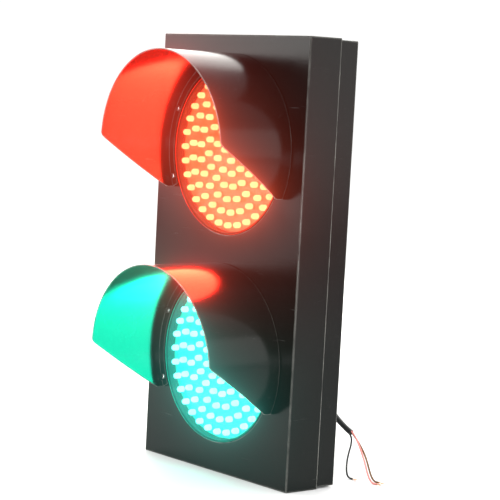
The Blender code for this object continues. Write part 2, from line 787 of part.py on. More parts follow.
def make_inner_wiring():
    """The cable inside the housing, its cores to the terminal block, and a lead to each lamp."""
    jacket_end = (-0.040, 0.018, 0.196)
    tube(
        "inner_cable",
        (
            (GLAND_X, REAR_Y + GLAND_MOUTH, GLAND_Z),
            (GLAND_X, 0.042, GLAND_Z),
            (GLAND_X, 0.0285, GLAND_Z),
            (GLAND_X, 0.0215, GLAND_Z + 0.0004),
            (-0.0203, 0.0140, 0.1245),
            (-0.0220, 0.0108, 0.1330),
            (-0.0260, 0.0105, 0.1460),
            (-0.0310, 0.0125, 0.1630),
            (-0.0360, 0.0150, 0.1800),
            jacket_end,
        ),
        CABLE_RADIUS,
        "black_sheath",
        spacing=2.2,
    )
    start_z = jacket_end[2] + 0.0006
    entry_y = TRAY_FLOOR_Y - GAP - 0.006
    entry_z = TERMINAL_Z - TERMINAL_SIZE.z / 2
    for (colour, side), offset in zip((("black", -1), ("brown", 0), ("pink", 1)), POLE_OFFSETS):
        x = TERMINAL_X + offset
        first = jacket_end[0] + side * 0.0026
        tube(
            f"inner_core_{colour}",
            (
                (first, jacket_end[1] + 0.0002, start_z + 0.0006),
                (first + side * 0.001 - 0.001, 0.0200, 0.2050),
                ((first + x) / 2, 0.0252, 0.2180),
                (x, entry_y - 0.0008, 0.2320),
                (x, entry_y, entry_z),
                (x, entry_y, entry_z + 0.005),
            ),
            CORE_RADIUS,
            f"{colour}_sheath",
        )
    top = TERMINAL_Z + TERMINAL_SIZE.z / 2
    routes = {
        "red": (
            (LEAD_HOLE_X, -0.004, LAMP_HEIGHTS["red"] - LEAD_HOLE_RISE),
            (LEAD_HOLE_X, 0.004, LAMP_HEIGHTS["red"] - LEAD_HOLE_RISE),
            (-0.0650, 0.0095, 0.3312),
            (-0.0800, 0.0110, 0.3304),
            (-0.1000, 0.0090, 0.3300),
            (-0.1135, 0.0070, 0.3270),
            (-0.1180, 0.0060, 0.3180),
            (-0.1180, 0.0070, 0.3020),
            (-0.1160, 0.0110, 0.2900),
            (-0.1060, 0.0170, 0.2830),
            (-0.0900, 0.0230, 0.2810),
            (-0.0740, 0.0280, 0.2790),
            (TERMINAL_X + POLE_OFFSETS[0], entry_y, top + 0.011),
            (TERMINAL_X + POLE_OFFSETS[0], entry_y, top + 0.003),
            (TERMINAL_X + POLE_OFFSETS[0], entry_y, top - 0.005),
        ),
        "green": (
            (LEAD_HOLE_X, -0.004, LAMP_HEIGHTS["green"] + LEAD_HOLE_RISE),
            (LEAD_HOLE_X, 0.004, LAMP_HEIGHTS["green"] + LEAD_HOLE_RISE),
            (-0.0650, 0.0095, 0.1788),
            (-0.0800, 0.0110, 0.1796),
            (-0.1000, 0.0090, 0.1800),
            (-0.1120, 0.0070, 0.1830),
            (-0.1160, 0.0060, 0.1920),
            (-0.1160, 0.0080, 0.2080),
            (-0.1160, 0.0150, 0.2260),
            (-0.1150, 0.0210, 0.2480),
            (-0.1120, 0.0220, 0.2680),
            (-0.1010, 0.0250, 0.2850),
            (-0.0840, 0.0290, 0.2930),
            (-0.0660, 0.0300, 0.2890),
            (TERMINAL_X + POLE_OFFSETS[1], entry_y, top + 0.012),
            (TERMINAL_X + POLE_OFFSETS[1], entry_y, top + 0.003),
            (TERMINAL_X + POLE_OFFSETS[1], entry_y, top - 0.005),
        ),
    }
    for colour, route in routes.items():
        tube(f"{colour}_lead", route, LEAD_RADIUS, "black_sheath")


def make_free_cable():
    """The cable outside, with its three stripped cores, whose tips lie on the floor."""
    tube("cable", CABLE_ROUTE, CABLE_RADIUS, "black_sheath", 4, 2.2)
    end = Vector(CABLE_ROUTE[-1])
    forward = (end - Vector(CABLE_ROUTE[-2])).normalized()
    start = end + forward * 0.0011
    lying = CORE_RADIUS + GAP
    routes = {
        "black": (
            start + Vector((-0.0006, -0.0016, -0.0012)),
            (0.1005, 0.0897, 0.0462),
            (0.1016, 0.0884, 0.0385),
            (0.1006, 0.0868, 0.0295),
            (0.0998, 0.0855, 0.0195),
            (0.1006, 0.0845, 0.0100),
            (0.1034, 0.0838, 0.0036),
            (0.1080, 0.0832, lying),
            (0.1140, 0.0826, lying),
        ),
        "brown": (
            start + Vector((-0.0002, 0.0019, -0.0007)),
            (0.1035, 0.0945, 0.0462),
            (0.1100, 0.0955, 0.0392),
            (0.1163, 0.0962, 0.0312),
            (0.1218, 0.0967, 0.0220),
            (0.1263, 0.0970, 0.0125),
            (0.1308, 0.0972, 0.0050),
            (0.1362, 0.0973, lying),
            (0.1425, 0.0973, lying),
        ),
        "pink": (
            start + Vector((0.0009, -0.0001, 0.0019)),
            (0.1062, 0.0912, 0.0478),
            (0.1130, 0.0906, 0.0405),
            (0.1192, 0.0901, 0.0320),
            (0.1250, 0.0897, 0.0228),
            (0.1300, 0.0894, 0.0130),
            (0.1350, 0.0892, 0.0052),
            (0.1408, 0.0890, lying),
            (0.1475, 0.0888, lying),
        ),
    }
    for colour, route in routes.items():
        tube(f"core_{colour}", route, CORE_RADIUS, f"{colour}_sheath")


clear_scene()
parts = make_collection("traffic_signal_head")
cutters = make_collection("cutters")
cover_axis = bpy.data.objects.new("cover_hinge_axis", None)
cover_axis.location = (HINGE_X, HINGE_Y, HEIGHT / 2)
parts.objects.link(cover_axis)

make_cover(cover_axis)
make_seal(cover_axis)
make_tray()
for hinge, hinge_height in HINGE_HEIGHTS.items():
    make_hinge(hinge, hinge_height, cover_axis)
make_lid_screw("top", HEIGHT, UPWARDS)
make_lid_screw("bottom", 0.0, DOWNWARDS)
for lamp_colour, lamp_height in LAMP_HEIGHTS.items():
    make_lamp(lamp_colour, lamp_height, cover_axis)
make_terminal_block()
make_gland()
make_inner_wiring()
make_free_cable()
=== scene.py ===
"""Looks for the LED traffic signal head: red over green, in a black sheet steel housing.

Metres, +Z up, +X right as seen from the front, and the lamps face -Y. Sizes and places are read
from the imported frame, and from the cable routes that the design file lists too.
"""

import json
import math

import bmesh
import bpy
from mathutils import Matrix, Vector


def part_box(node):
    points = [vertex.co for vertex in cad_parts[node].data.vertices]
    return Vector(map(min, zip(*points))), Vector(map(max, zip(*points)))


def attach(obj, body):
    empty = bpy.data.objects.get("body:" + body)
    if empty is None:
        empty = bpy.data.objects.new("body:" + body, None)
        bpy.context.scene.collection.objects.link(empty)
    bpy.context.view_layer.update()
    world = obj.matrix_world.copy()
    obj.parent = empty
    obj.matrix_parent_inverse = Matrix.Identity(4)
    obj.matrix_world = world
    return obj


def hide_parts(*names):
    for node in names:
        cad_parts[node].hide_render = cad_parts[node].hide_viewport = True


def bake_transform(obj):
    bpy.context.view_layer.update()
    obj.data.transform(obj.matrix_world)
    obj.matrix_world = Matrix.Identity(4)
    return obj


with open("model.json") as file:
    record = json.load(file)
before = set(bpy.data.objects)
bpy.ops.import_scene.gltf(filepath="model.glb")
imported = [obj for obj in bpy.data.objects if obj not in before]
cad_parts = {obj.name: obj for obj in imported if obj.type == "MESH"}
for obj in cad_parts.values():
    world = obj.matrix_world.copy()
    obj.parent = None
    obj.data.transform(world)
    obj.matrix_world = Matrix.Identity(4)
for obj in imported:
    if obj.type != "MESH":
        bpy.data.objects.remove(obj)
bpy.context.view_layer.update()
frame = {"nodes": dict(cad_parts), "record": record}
NODES = frame["nodes"]

# ---------------- places taken from the frame

COVER_LOW, COVER_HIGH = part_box("front_cover")
TRAY_LOW, TRAY_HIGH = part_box("rear_tray")
HEIGHT = COVER_HIGH.z
FRONT_Y = COVER_LOW.y
REAR_Y = TRAY_HIGH.y
SHEET = 0.0012
FOLD = 0.0016
GAP = 0.0003


def middle_of(node):
    low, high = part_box(node)
    return (low + high) / 2


LAMPS = {colour: middle_of(f"{colour}_lens").z for colour in ("red", "green")}
LENS_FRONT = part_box("red_lens")[0].y
LENS_RADIUS = 0.0976
LENS_FLANGE_RADIUS = 0.103
LENS_EDGE = 0.0029
LENS_WALL = 0.0020
GASKET_INNER = 0.0989
GASKET_THICKNESS = 0.0012
BOARD_FACE_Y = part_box("red_led_board")[0].y
BOWL_DEPTH = 0.038
BOWL_RADIUS = 0.097
LEAD_HOLE_X = -0.060
LEAD_HOLE_RISE = 0.045
VISOR_RADIUS = 0.112
VISOR_FLANGE_INNER = 0.102
VISOR_LENGTH = 0.102
VISOR_LEAN = 0.004
VISOR_RIM_DROP = 0.010
VISOR_CUT_LENGTH = 0.011
VISOR_BASE_DROP = 0.0491
VISOR_CORNER = 0.006
FIXING_RADIUS = 0.1063
FIXING_ANGLES = (25, 155, 200, 340)
LID_SCREW_HEAD = 0.0036
SCREW_HOLE_RADIUS = 0.00225
KEYHOLES = [(x, height) for x in (-0.080, 0.080) for height in (0.440, 0.060)]
KEYHOLE_RADIUS = 0.0055
KEYHOLE_SLOT_RADIUS = 0.00275
KEYHOLE_RISE = 0.011
GLAND_THREAD_RADIUS = 0.0079

# How far a cutter passes a sheet on each side
THROUGH = 0.004

# LEDs on each board: (ring radius, how many, angle of the first in degrees)
LED_RINGS = (
    (0.012, 4, 0), (0.027, 10, 23), (0.042, 16, 8),
    (0.057, 20, 14), (0.072, 26, 10), (0.087, 32, 0),
)
LED_RADIUS = 0.0036
LED_FLANGE_RADIUS = 0.0041
LED_LENGTH = 0.0096

# The free cable and its cores, as the design file lists them.
CABLE_RADIUS = 0.0035
CORE_RADIUS = 0.0011
LEAD_RADIUS = 0.0018
FLOOR_LIE = CORE_RADIUS + GAP
CABLE_ROUTE = (
    (-0.02, 0.0568, 0.12), (-0.02, 0.064, 0.12), (-0.02, 0.0715, 0.12),
    (-0.018, 0.082, 0.1193), (-0.012, 0.0915, 0.1172), (-0.002, 0.098, 0.113),
    (0.0095, 0.1005, 0.1062), (0.022, 0.1006, 0.0975), (0.034, 0.0995, 0.0882),
    (0.046, 0.098, 0.0787), (0.058, 0.0963, 0.0702), (0.07, 0.0947, 0.0636),
    (0.081, 0.0934, 0.0586), (0.09, 0.0925, 0.055), (0.097, 0.092, 0.0523),
)
CORE_ROUTES = {
    "black": (
        (-0.0006, -0.0016, -0.0012), (0.1005, 0.0897, 0.0462), (0.1016, 0.0884, 0.0385),
        (0.1006, 0.0868, 0.0295), (0.0998, 0.0855, 0.0195), (0.1006, 0.0845, 0.01),
        (0.1034, 0.0838, 0.0036), (0.108, 0.0832, FLOOR_LIE), (0.114, 0.0826, FLOOR_LIE),
    ),
    "brown": (
        (-0.0002, 0.0019, -0.0007), (0.1035, 0.0945, 0.0462), (0.11, 0.0955, 0.0392),
        (0.1163, 0.0962, 0.0312), (0.1218, 0.0967, 0.022), (0.1263, 0.097, 0.0125),
        (0.1308, 0.0972, 0.005), (0.1362, 0.0973, FLOOR_LIE), (0.1425, 0.0973, FLOOR_LIE),
    ),
    "pink": (
        (0.0009, -0.0001, 0.0019), (0.1062, 0.0912, 0.0478), (0.113, 0.0906, 0.0405),
        (0.1192, 0.0901, 0.032), (0.125, 0.0897, 0.0228), (0.13, 0.0894, 0.013),
        (0.135, 0.0892, 0.0052), (0.1408, 0.089, FLOOR_LIE), (0.1475, 0.0888, FLOOR_LIE),
    ),
}

# The wiring inside the housing, as the design file lists it, but for its ends at the terminal block
JACKET_END = Vector((-0.0400, 0.0180, 0.1960))
INNER_CABLE_ROUTE = (
    (-0.02, 0.0565, 0.12), (-0.02, 0.042, 0.12), (-0.02, 0.0285, 0.12),
    (-0.02, 0.0215, 0.1204), (-0.0203, 0.014, 0.1245), (-0.022, 0.0108, 0.133),
    (-0.026, 0.0105, 0.146), (-0.031, 0.0125, 0.163), (-0.036, 0.015, 0.18),
    JACKET_END,
)
LEAD_ROUTES = {
    "red": (
        (-0.06, -0.004, 0.3315), (-0.06, 0.004, 0.3315), (-0.065, 0.0095, 0.3312),
        (-0.08, 0.011, 0.3304), (-0.1, 0.009, 0.33), (-0.1135, 0.007, 0.327),
        (-0.118, 0.006, 0.318), (-0.118, 0.007, 0.302), (-0.116, 0.011, 0.29),
        (-0.106, 0.017, 0.283), (-0.09, 0.023, 0.281), (-0.074, 0.028, 0.279),
    ),
    "green": (
        (-0.06, -0.004, 0.1785), (-0.06, 0.004, 0.1785), (-0.065, 0.0095, 0.1788),
        (-0.08, 0.011, 0.1796), (-0.1, 0.009, 0.18), (-0.112, 0.007, 0.183),
        (-0.116, 0.006, 0.192), (-0.116, 0.008, 0.208), (-0.116, 0.015, 0.226),
        (-0.115, 0.021, 0.248), (-0.112, 0.022, 0.268), (-0.101, 0.025, 0.285),
        (-0.084, 0.029, 0.293), (-0.066, 0.03, 0.289),
    ),
}
# The terminal block's four poles: their offsets along x from the block's middle
POLE_OFFSETS = (-0.022, -0.008, 0.008, 0.022)

# The camera, on a line through the housing's front at its middle
AZIMUTH = math.radians(49.88)
ELEVATION = math.radians(5.04)
ROLL = math.radians(3.04)
DISTANCE = 2.087
LENS_MM = 129.3
AIM_RIGHT = 0.0309
AIM_UP = 0.0073

TO_FRONT = Matrix.Rotation(math.radians(90), 4, "X")


def lamp_frame(height):
    """A lamp's own axes at the panel: +Z out of the front, and its radius in the panel's plane."""
    return Matrix.Translation((0, FRONT_Y, height)) @ TO_FRONT


def gland_frame():
    """The gland's own axes at the back wall: +Z out of the back."""
    middle = middle_of("gland_body")
    return Matrix.Translation((middle.x, REAR_Y, middle.z)) @ Matrix.Rotation(-math.pi / 2, 4, "X")


def configured(thing, **settings):
    """The thing, with its attributes set."""
    for key, value in settings.items():
        setattr(thing, key, value)
    return thing


def new_object(name, data):
    obj = bpy.data.objects.new(name, data)
    bpy.context.scene.collection.objects.link(obj)
    return obj


# ---------------- camera


def make_camera():
    """The camera at the photograph's viewing angle."""
    level = math.cos(ELEVATION)
    back = Vector((math.sin(AZIMUTH) * level, -math.cos(AZIMUTH) * level, math.sin(ELEVATION)))
    right = (-back).cross(Vector((0, 0, 1))).normalized()
    up = back.cross(right)
    target = Vector((0, FRONT_Y, HEIGHT / 2)) + right * AIM_RIGHT + up * AIM_UP
    rolled_right = right * math.cos(ROLL) + up * math.sin(ROLL)
    rolled_up = up * math.cos(ROLL) - right * math.sin(ROLL)
    data = configured(bpy.data.cameras.new("camera"), lens=LENS_MM, sensor_width=36, clip_end=50)
    camera = new_object("camera", data)
    turn = Matrix((rolled_right, rolled_up, back)).transposed().to_4x4()
    camera.matrix_world = Matrix.Translation(target + back * DISTANCE) @ turn
    bpy.context.scene.camera = camera


# ---------------- materials


class Paint:
    """A Principled material and short ways to wire its nodes."""

    def __init__(self, name, colour, roughness, metallic=0.0):
        self.material = bpy.data.materials.new(name)
        self.material.use_nodes = True
        self.tree = self.material.node_tree
        self.shader = self.tree.nodes["Principled BSDF"]
        self.set(self.shader, {"Base Color": (*colour, 1), "Roughness": roughness, "Metallic": metallic})
        self.coords = self.node("ShaderNodeTexCoord").outputs["Object"]

    @staticmethod
    def set(node, inputs):
        for name, value in inputs.items():
            node.inputs[name].default_value = value

    def node(self, kind, inputs=None, **settings):
        node = configured(self.tree.nodes.new(kind), **settings)
        self.set(node, inputs or {})
        return node

    def link(self, source, target):
        self.tree.links.new(source, target)

    def scaled(self, scale):
        mapping = self.node("ShaderNodeMapping", {"Scale": scale})
        self.link(self.coords, mapping.inputs["Vector"])
        return mapping.outputs["Vector"]

    def noise(self, scale, detail=3.0, roughness=0.55, stretch=None):
        inputs = {"Scale": scale, "Detail": detail, "Roughness": roughness}
        node = self.node("ShaderNodeTexNoise", inputs)
        self.link(self.scaled(stretch) if stretch else self.coords, node.inputs["Vector"])
        return node.outputs["Fac"]

    def steps(self, value, low, high, out_low=0.0, out_high=1.0):
        """Maps a value's range from low..high to out_low..out_high, clamped."""
        inputs = {"From Min": low, "From Max": high, "To Min": out_low, "To Max": out_high}
        node = self.node("ShaderNodeMapRange", inputs)
        self.link(value, node.inputs["Value"])
        return node.outputs["Result"]

    def maths(self, operation, first, second):
        node = self.node("ShaderNodeMath", operation=operation)
        for socket, value in zip(node.inputs, (first, second)):
            if isinstance(value, (int, float)):
                socket.default_value = value
            else:
                self.link(value, socket)
        return node.outputs["Value"]

    def mix(self, factor, first, second):
        """A colour between two, each a socket or a plain colour."""
        node = self.node("ShaderNodeMix", data_type="RGBA")
        self.link(factor, node.inputs[0])
        for socket, value in ((node.inputs[6], first), (node.inputs[7], second)):
            if isinstance(value, tuple):
                socket.default_value = (*value, 1)
            else:
                self.link(value, socket)
        return node.outputs[2]

    def edges(self, radius):
        """1 at convex and concave edges, 0 on flats."""
        bevel = self.node("ShaderNodeBevel", {"Radius": radius}, samples=4)
        geometry = self.node("ShaderNodeNewGeometry")
        dot = self.node("ShaderNodeVectorMath", operation="DOT_PRODUCT")
        self.link(bevel.outputs["Normal"], dot.inputs[0])
        self.link(geometry.outputs["Normal"], dot.inputs[1])
        return self.steps(dot.outputs["Value"], 0.995, 0.90)

    def colour(self, socket):
        self.link(socket, self.shader.inputs["Base Color"])

    def roughness(self, socket):
        self.link(socket, self.shader.inputs["Roughness"])

    def bump(self, height, strength, distance):
        node = self.node("ShaderNodeBump", {"Strength": strength, "Distance": distance})
        self.link(height, node.inputs["Height"])
        self.link(node.outputs["Normal"], self.shader.inputs["Normal"])


def painted_steel(name, dark, light, low, high, wear=0.8):
    """Black enamel with orange peel, dust specks, faint rubs and paler worn edges."""
    paint = Paint(name, dark, low)
    paint.shader.inputs["Specular IOR Level"].default_value = 0.14
    clouds = paint.noise(7.0, 4.0)
    base = paint.mix(paint.steps(clouds, 0.35, 0.7), dark, light)
    specks = paint.steps(paint.noise(1300.0, 1.0), 0.72, 0.78, 0.0, 0.25)
    base = paint.mix(specks, base, (0.24, 0.235, 0.22))
    rubs = paint.steps(paint.noise(16.0, 6.0, 0.7, (1.0, 1.0, 14.0)), 0.66, 0.74, 0.0, 0.16)
    base = paint.mix(rubs, base, (0.20, 0.20, 0.19))
    patchy = paint.steps(paint.noise(38.0), 0.30, 0.58, 0.25, 1.0)
    worn = paint.maths("MULTIPLY", paint.edges(0.0020), patchy)
    base = paint.mix(paint.maths("MULTIPLY", worn, wear), base, (0.34, 0.34, 0.31))
    paint.colour(base)
    gloss = paint.steps(clouds, 0.3, 0.75, low, high)
    paint.roughness(paint.maths("MAXIMUM", gloss, paint.maths("MULTIPLY", worn, 0.5)))
    peel = paint.maths("ADD", paint.noise(420.0, 2.0), paint.maths("MULTIPLY", specks, 1.5))
    paint.bump(peel, 0.12, 0.0004)
    return paint.material


def metal(name, colour, roughness, grain):
    """Plated or bright metal, with fine grain, tarnish and paler edges."""
    paint = Paint(name, colour, roughness, 1.0)
    grain_noise = paint.noise(grain, 3.0, 0.6, (1.0, 1.0, 6.0))
    dull = tuple(value * 0.62 for value in colour)
    tone = paint.mix(paint.steps(paint.noise(90.0, 4.0), 0.35, 0.7), colour, dull)
    paint.colour(paint.mix(paint.edges(0.0004), tone, tuple(min(1.0, v * 1.25) for v in colour)))
    paint.roughness(paint.steps(grain_noise, 0.3, 0.7, roughness * 0.7, roughness * 1.5))
    paint.bump(grain_noise, 0.10, 0.0002)
    return paint.material


def plastic(name, colour, roughness, grain=700.0, relief=0.10):
    """Moulded plastic or rubber with a fine grain, a little dust and scuffed edges."""
    paint = Paint(name, colour, roughness)
    clouds = paint.noise(30.0, 4.0)
    paint.shader.inputs["Specular IOR Level"].default_value = 0.28
    pale = tuple(value * 1.35 + 0.002 for value in colour)
    tone = paint.mix(paint.steps(clouds, 0.35, 0.7), colour, pale)
    scuffed = paint.maths("MULTIPLY", paint.edges(0.0005), 0.35)
    paint.colour(paint.mix(scuffed, tone, tuple(value * 1.6 + 0.03 for value in colour)))
    paint.roughness(paint.steps(clouds, 0.3, 0.7, roughness * 0.85, roughness * 1.15))
    paint.bump(paint.noise(grain, 2.0), relief, 0.0003)
    return paint.material


def circuit_board():
    """Solder mask with copper tracks under it."""
    paint = Paint("circuit_board", (0.02, 0.09, 0.04), 0.4)
    cells = paint.node("ShaderNodeTexVoronoi", {"Scale": 90.0}, feature="DISTANCE_TO_EDGE")
    paint.link(paint.coords, cells.inputs["Vector"])
    tracks = paint.steps(cells.outputs["Distance"], 0.06, 0.10)
    tone = paint.mix(tracks, (0.012, 0.05, 0.022), (0.03, 0.14, 0.06))
    paint.colour(paint.mix(paint.steps(paint.noise(40.0), 0.4, 0.7), tone, (0.02, 0.10, 0.05)))
    paint.roughness(paint.steps(paint.noise(300.0), 0.3, 0.7, 0.3, 0.5))
    paint.bump(tracks, 0.3, 0.0002)
    return paint.material


def glowing(name, colour, glow, low, high, patches=None):
    """Glowing plastic: the LEDs' own light, and a painted glow on the board's front and the lens's rim,
    where it stands in for the LEDs' light. The glow varies a little from place to place.
    """
    paint = Paint(name, colour, 0.25)
    paint.colour(paint.mix(paint.noise(250.0), colour, tuple(value * 0.8 for value in colour)))
    paint.shader.inputs["Emission Color"].default_value = (*glow, 1)
    if patches:
        spots = paint.steps(paint.noise(130.0, 2.0), 0.42, 0.62)
        paint.link(paint.mix(spots, glow, patches), paint.shader.inputs["Emission Color"])
    strength = paint.steps(paint.noise(70.0, 1.0), 0.35, 0.65, low, high)
    paint.link(strength, paint.shader.inputs["Emission Strength"])
    return paint.material


def lens_glass(name, tint, shade, glow, strength):
    """Thin clear moulding: it lets the light through, and at grazing angles it shines more, with a painted
    glow in the board's colour.
    """
    paint = Paint(name, shade, 0.06)
    paint.roughness(paint.steps(paint.noise(120.0), 0.3, 0.7, 0.04, 0.12))
    paint.bump(paint.noise(260.0, 1.0), 0.05, 0.0003)
    # A painted glow in the board's colour, which stands in for the lamp's light in the lens
    paint.set(paint.shader, {"Emission Color": (*glow, 1), "Emission Strength": strength})
    clear = paint.node("ShaderNodeBsdfTransparent", {"Color": (*tint, 1)})
    facing = paint.node("ShaderNodeLayerWeight").outputs["Facing"]
    share = paint.steps(paint.maths("POWER", facing, 4.0), 0.0, 1.0, 0.06, 0.9)
    blend = paint.node("ShaderNodeMixShader")
    paint.link(share, blend.inputs[0])
    paint.link(clear.outputs[0], blend.inputs[1])
    paint.link(paint.shader.outputs[0], blend.inputs[2])
    output = next(n for n in paint.tree.nodes if n.type == "OUTPUT_MATERIAL")
    paint.link(blend.outputs[0], output.inputs["Surface"])
    return paint.material


# Each lamp's colours. Its glows and its beam are strong in one or two channels, as an LED's light is. The
# board's and the rim's glows, and the lens's glow in the board's colour, are painted light that stands in
# for the LEDs' light on those parts.
LAMP_LOOKS = {
    "red": {
        "tint": (1.0, 0.88, 0.82), "plastic": (0.55, 0.06, 0.03),
        "board": (1.0, 0.060, 0.030), "board_patches": (0.6, 0.050, 0.016), "board_strength": (2.0, 2.8),
        "led": (1.0, 0.250, 0.110), "led_strength": (4.4, 5.4),
        "rim": (1.0, 0.012, 0.010), "rim_strength": (2.2, 3.0),
        "beam": (1.0, 0.019, 0.0085), "power": 24.0,
    },
    "green": {
        "tint": (0.88, 1.0, 0.99), "plastic": (0.02, 0.45, 0.35),
        "board": (0.006, 1.0, 0.74), "board_patches": (0.004, 0.62, 0.45), "board_strength": (0.32, 0.50),
        "led": (0.24, 1.0, 0.90), "led_strength": (3.2, 4.0),
        "rim": (0.012, 1.0, 0.58), "rim_strength": (0.35, 0.60),
        "beam": (0.0003, 1.0, 0.58), "power": 7.0,
    },
}


def make_materials():
    """Every material, by name: one for each slot, and those inside the lamps."""
    made = {"circuit_board": circuit_board()}
    for kind, name, *settings in (
        (painted_steel, "black_paint", (0.0018, 0.0018, 0.0016), (0.0046, 0.0045, 0.0040), 0.12, 0.24),
        # A lighter copy of black_paint, painted light for the lamp-lit insides of the visors, with less edge
        # wear
        (painted_steel, "painted_lit_inner_paint", (0.0038, 0.0038, 0.0037), (0.0086, 0.0085, 0.0080), 0.12, 0.24, 0.2),
        (metal, "zinc", (0.62, 0.63, 0.62), 0.32, 260.0),
        (metal, "steel", (0.60, 0.60, 0.58), 0.24, 420.0),
        (metal, "copper", (0.75, 0.36, 0.20), 0.30, 500.0),
        (plastic, "black_plastic", (0.0085, 0.0085, 0.0090), 0.42),
        (plastic, "potting", (0.05, 0.05, 0.058), 0.35, 90.0, 0.2),
        (plastic, "rubber", (0.020, 0.020, 0.020), 0.78, 500.0, 0.25),
        (plastic, "cream_plastic", (0.78, 0.74, 0.63), 0.40),
        (plastic, "black_sheath", (0.018, 0.018, 0.018), 0.38, 400.0, 0.08),
        (plastic, "brown_sheath", (0.13, 0.062, 0.022), 0.42, 500.0, 0.06),
        (plastic, "pink_sheath", (0.62, 0.22, 0.20), 0.42, 500.0, 0.06),
    ):
        made[name] = kind(name, *settings)
    for colour, look in LAMP_LOOKS.items():
        body = look["plastic"]
        board = look["board"]
        name = f"{colour}_lens"
        # The lens gets a painted glow in the board's colour
        made[name] = lens_glass(name, look["tint"], body, board, 0.8)
        patches = look["board_patches"]
        # The LEDs glow as lamps; the glows of the board's front and the lens's rim are painted light that
        # stands in for the LEDs' light
        for part, glow, strength, spots in (
            ("lens_rim", look["rim"], look["rim_strength"], None),
            ("led", look["led"], look["led_strength"], None),
            ("led_base", board, look["board_strength"], None),
            ("board", board, look["board_strength"], patches),
        ):
            name = f"{colour}_{part}"
            made[name] = glowing(name, body, glow, *strength, spots)
    return made


# ---------------- making pieces


def add_piece(name, data, body, slot, *nodes, material=None):
    """Adds a visible piece: the body it rides on, if any, and the CAD nodes it stands for."""
    obj = new_object(name, data)
    data.materials.clear()
    data.materials.append(MATERIALS[material or slot])
    if body:
        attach(obj, body)
    if nodes:
        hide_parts(*nodes)
    return obj


def finished(mesh, angle=35):
    mesh.shade_smooth()
    mesh.set_sharp_from_angle(angle=math.radians(angle))
    return mesh


def plain_mesh(bm, name):
    mesh = bpy.data.meshes.new(name)
    bm.to_mesh(mesh)
    bm.free()
    return mesh


def mesh_of(bm, name, angle=35):
    bmesh.ops.recalc_face_normals(bm, faces=bm.faces)
    return finished(plain_mesh(bm, name), angle)


def baked(obj, angle=35):
    """The object's mesh with its modifiers applied. The object is removed.

    With no angle the mesh keeps its own normals.
    """
    bpy.context.view_layer.update()
    graph = bpy.context.evaluated_depsgraph_get()
    mesh = bpy.data.meshes.new_from_object(obj.evaluated_get(graph))
    name = obj.data.name
    bpy.data.objects.remove(obj, do_unlink=True)
    mesh.name = name
    return finished(mesh, angle) if angle else mesh


def combined(mesh, other, operation, use_self):
    """The mesh after a boolean with another's closed solids."""
    obj = new_object("blank", mesh)
    tool = new_object("tool", mesh_of(other, "tool"))
    modifier = obj.modifiers.new("solids", "BOOLEAN")
    configured(modifier, operation=operation, solver="EXACT", object=tool, use_self=use_self)
    result = baked(obj)
    bpy.data.objects.remove(tool, do_unlink=True)
    return result


def cut(mesh, cutter):
    return combined(mesh, cutter, "DIFFERENCE", False)


def joined(mesh, extra):
    return combined(mesh, extra, "UNION", True)


def round_edges(obj, width, segments, angle):
    configured(
        obj.modifiers.new("edges", "BEVEL"),
        width=width,
        segments=segments,
        limit_method="ANGLE",
        angle_limit=math.radians(angle),
        harden_normals=True,
    )


def eased(mesh, width, segments=2, angle=40):
    """The mesh with its sharp edges rounded."""
    obj = new_object("eased", mesh)
    round_edges(obj, width, segments, angle)
    obj.modifiers.new("normals", "WEIGHTED_NORMAL").keep_sharp = True
    return baked(obj, None)


def into_sheet(obj, offset):
    """The mesh of a bare surface made into sheet steel."""
    solid = obj.modifiers.new("sheet", "SOLIDIFY")
    configured(solid, thickness=SHEET, offset=offset, use_even_offset=True)
    return baked(obj)


def add_cylinder(bm, radius, low, high, matrix, sides=48, top_radius=None):
    bmesh.ops.create_cone(
        bm, cap_ends=True, segments=sides, depth=high - low,
        radius1=radius, radius2=radius if top_radius is None else top_radius,
        matrix=matrix @ Matrix.Translation((0, 0, (low + high) / 2)),
    )


def add_box(bm, low, high, matrix=Matrix()):
    low = Vector(low)
    high = Vector(high)
    scale = Matrix.Diagonal((*(high - low), 1.0))
    bmesh.ops.create_cube(bm, size=1.0, matrix=matrix @ Matrix.Translation((low + high) / 2) @ scale)


def arc(middle, radius, start, end, steps):
    """Points along an arc of a profile. Its angles are in degrees."""
    points = []
    for step in range(steps + 1):
        angle = math.radians(start + (end - start) * step / steps)
        points.append((middle[0] + radius * math.cos(angle), middle[1] + radius * math.sin(angle)))
    return points


def skin(bm, rows):
    """Faces between neighbouring rows of vertices."""
    for first, second in zip(rows, rows[1:]):
        for a, b, c, d in zip(first, first[1:], second[1:], second):
            bm.faces.new((a, b, c, d))


def turned(bm, profile, matrix, sides=64):
    """Adds a turned solid to a bmesh. Its (radius, height) profile is closed, or ends on the axis."""
    closed = profile[0][0] > 0 and profile[-1][0] > 0
    rings = []
    for radius, height in profile:
        if radius <= 0:
            rings.append([bm.verts.new(matrix @ Vector((0, 0, height)))])
            continue
        ring = []
        for step in range(sides):
            angle = math.tau * step / sides
            spot = Vector((radius * math.cos(angle), radius * math.sin(angle), height))
            ring.append(bm.verts.new(matrix @ spot))
        rings.append(ring)
    pairs = list(zip(rings, rings[1:]))
    if closed:
        pairs.append((rings[-1], rings[0]))
    for first, second in pairs:
        for step in range(sides):
            after = (step + 1) % sides
            corners = [first[step % len(first)], second[step % len(second)]]
            corners += [second[after % len(second)], first[after % len(first)]]
            unique = list(dict.fromkeys(corners))
            if len(unique) > 2:
                bm.faces.new(unique)


def turned_mesh(name, profile, matrix, sides):
    bm = bmesh.new()
    turned(bm, profile, matrix, sides)
    return mesh_of(bm, name)


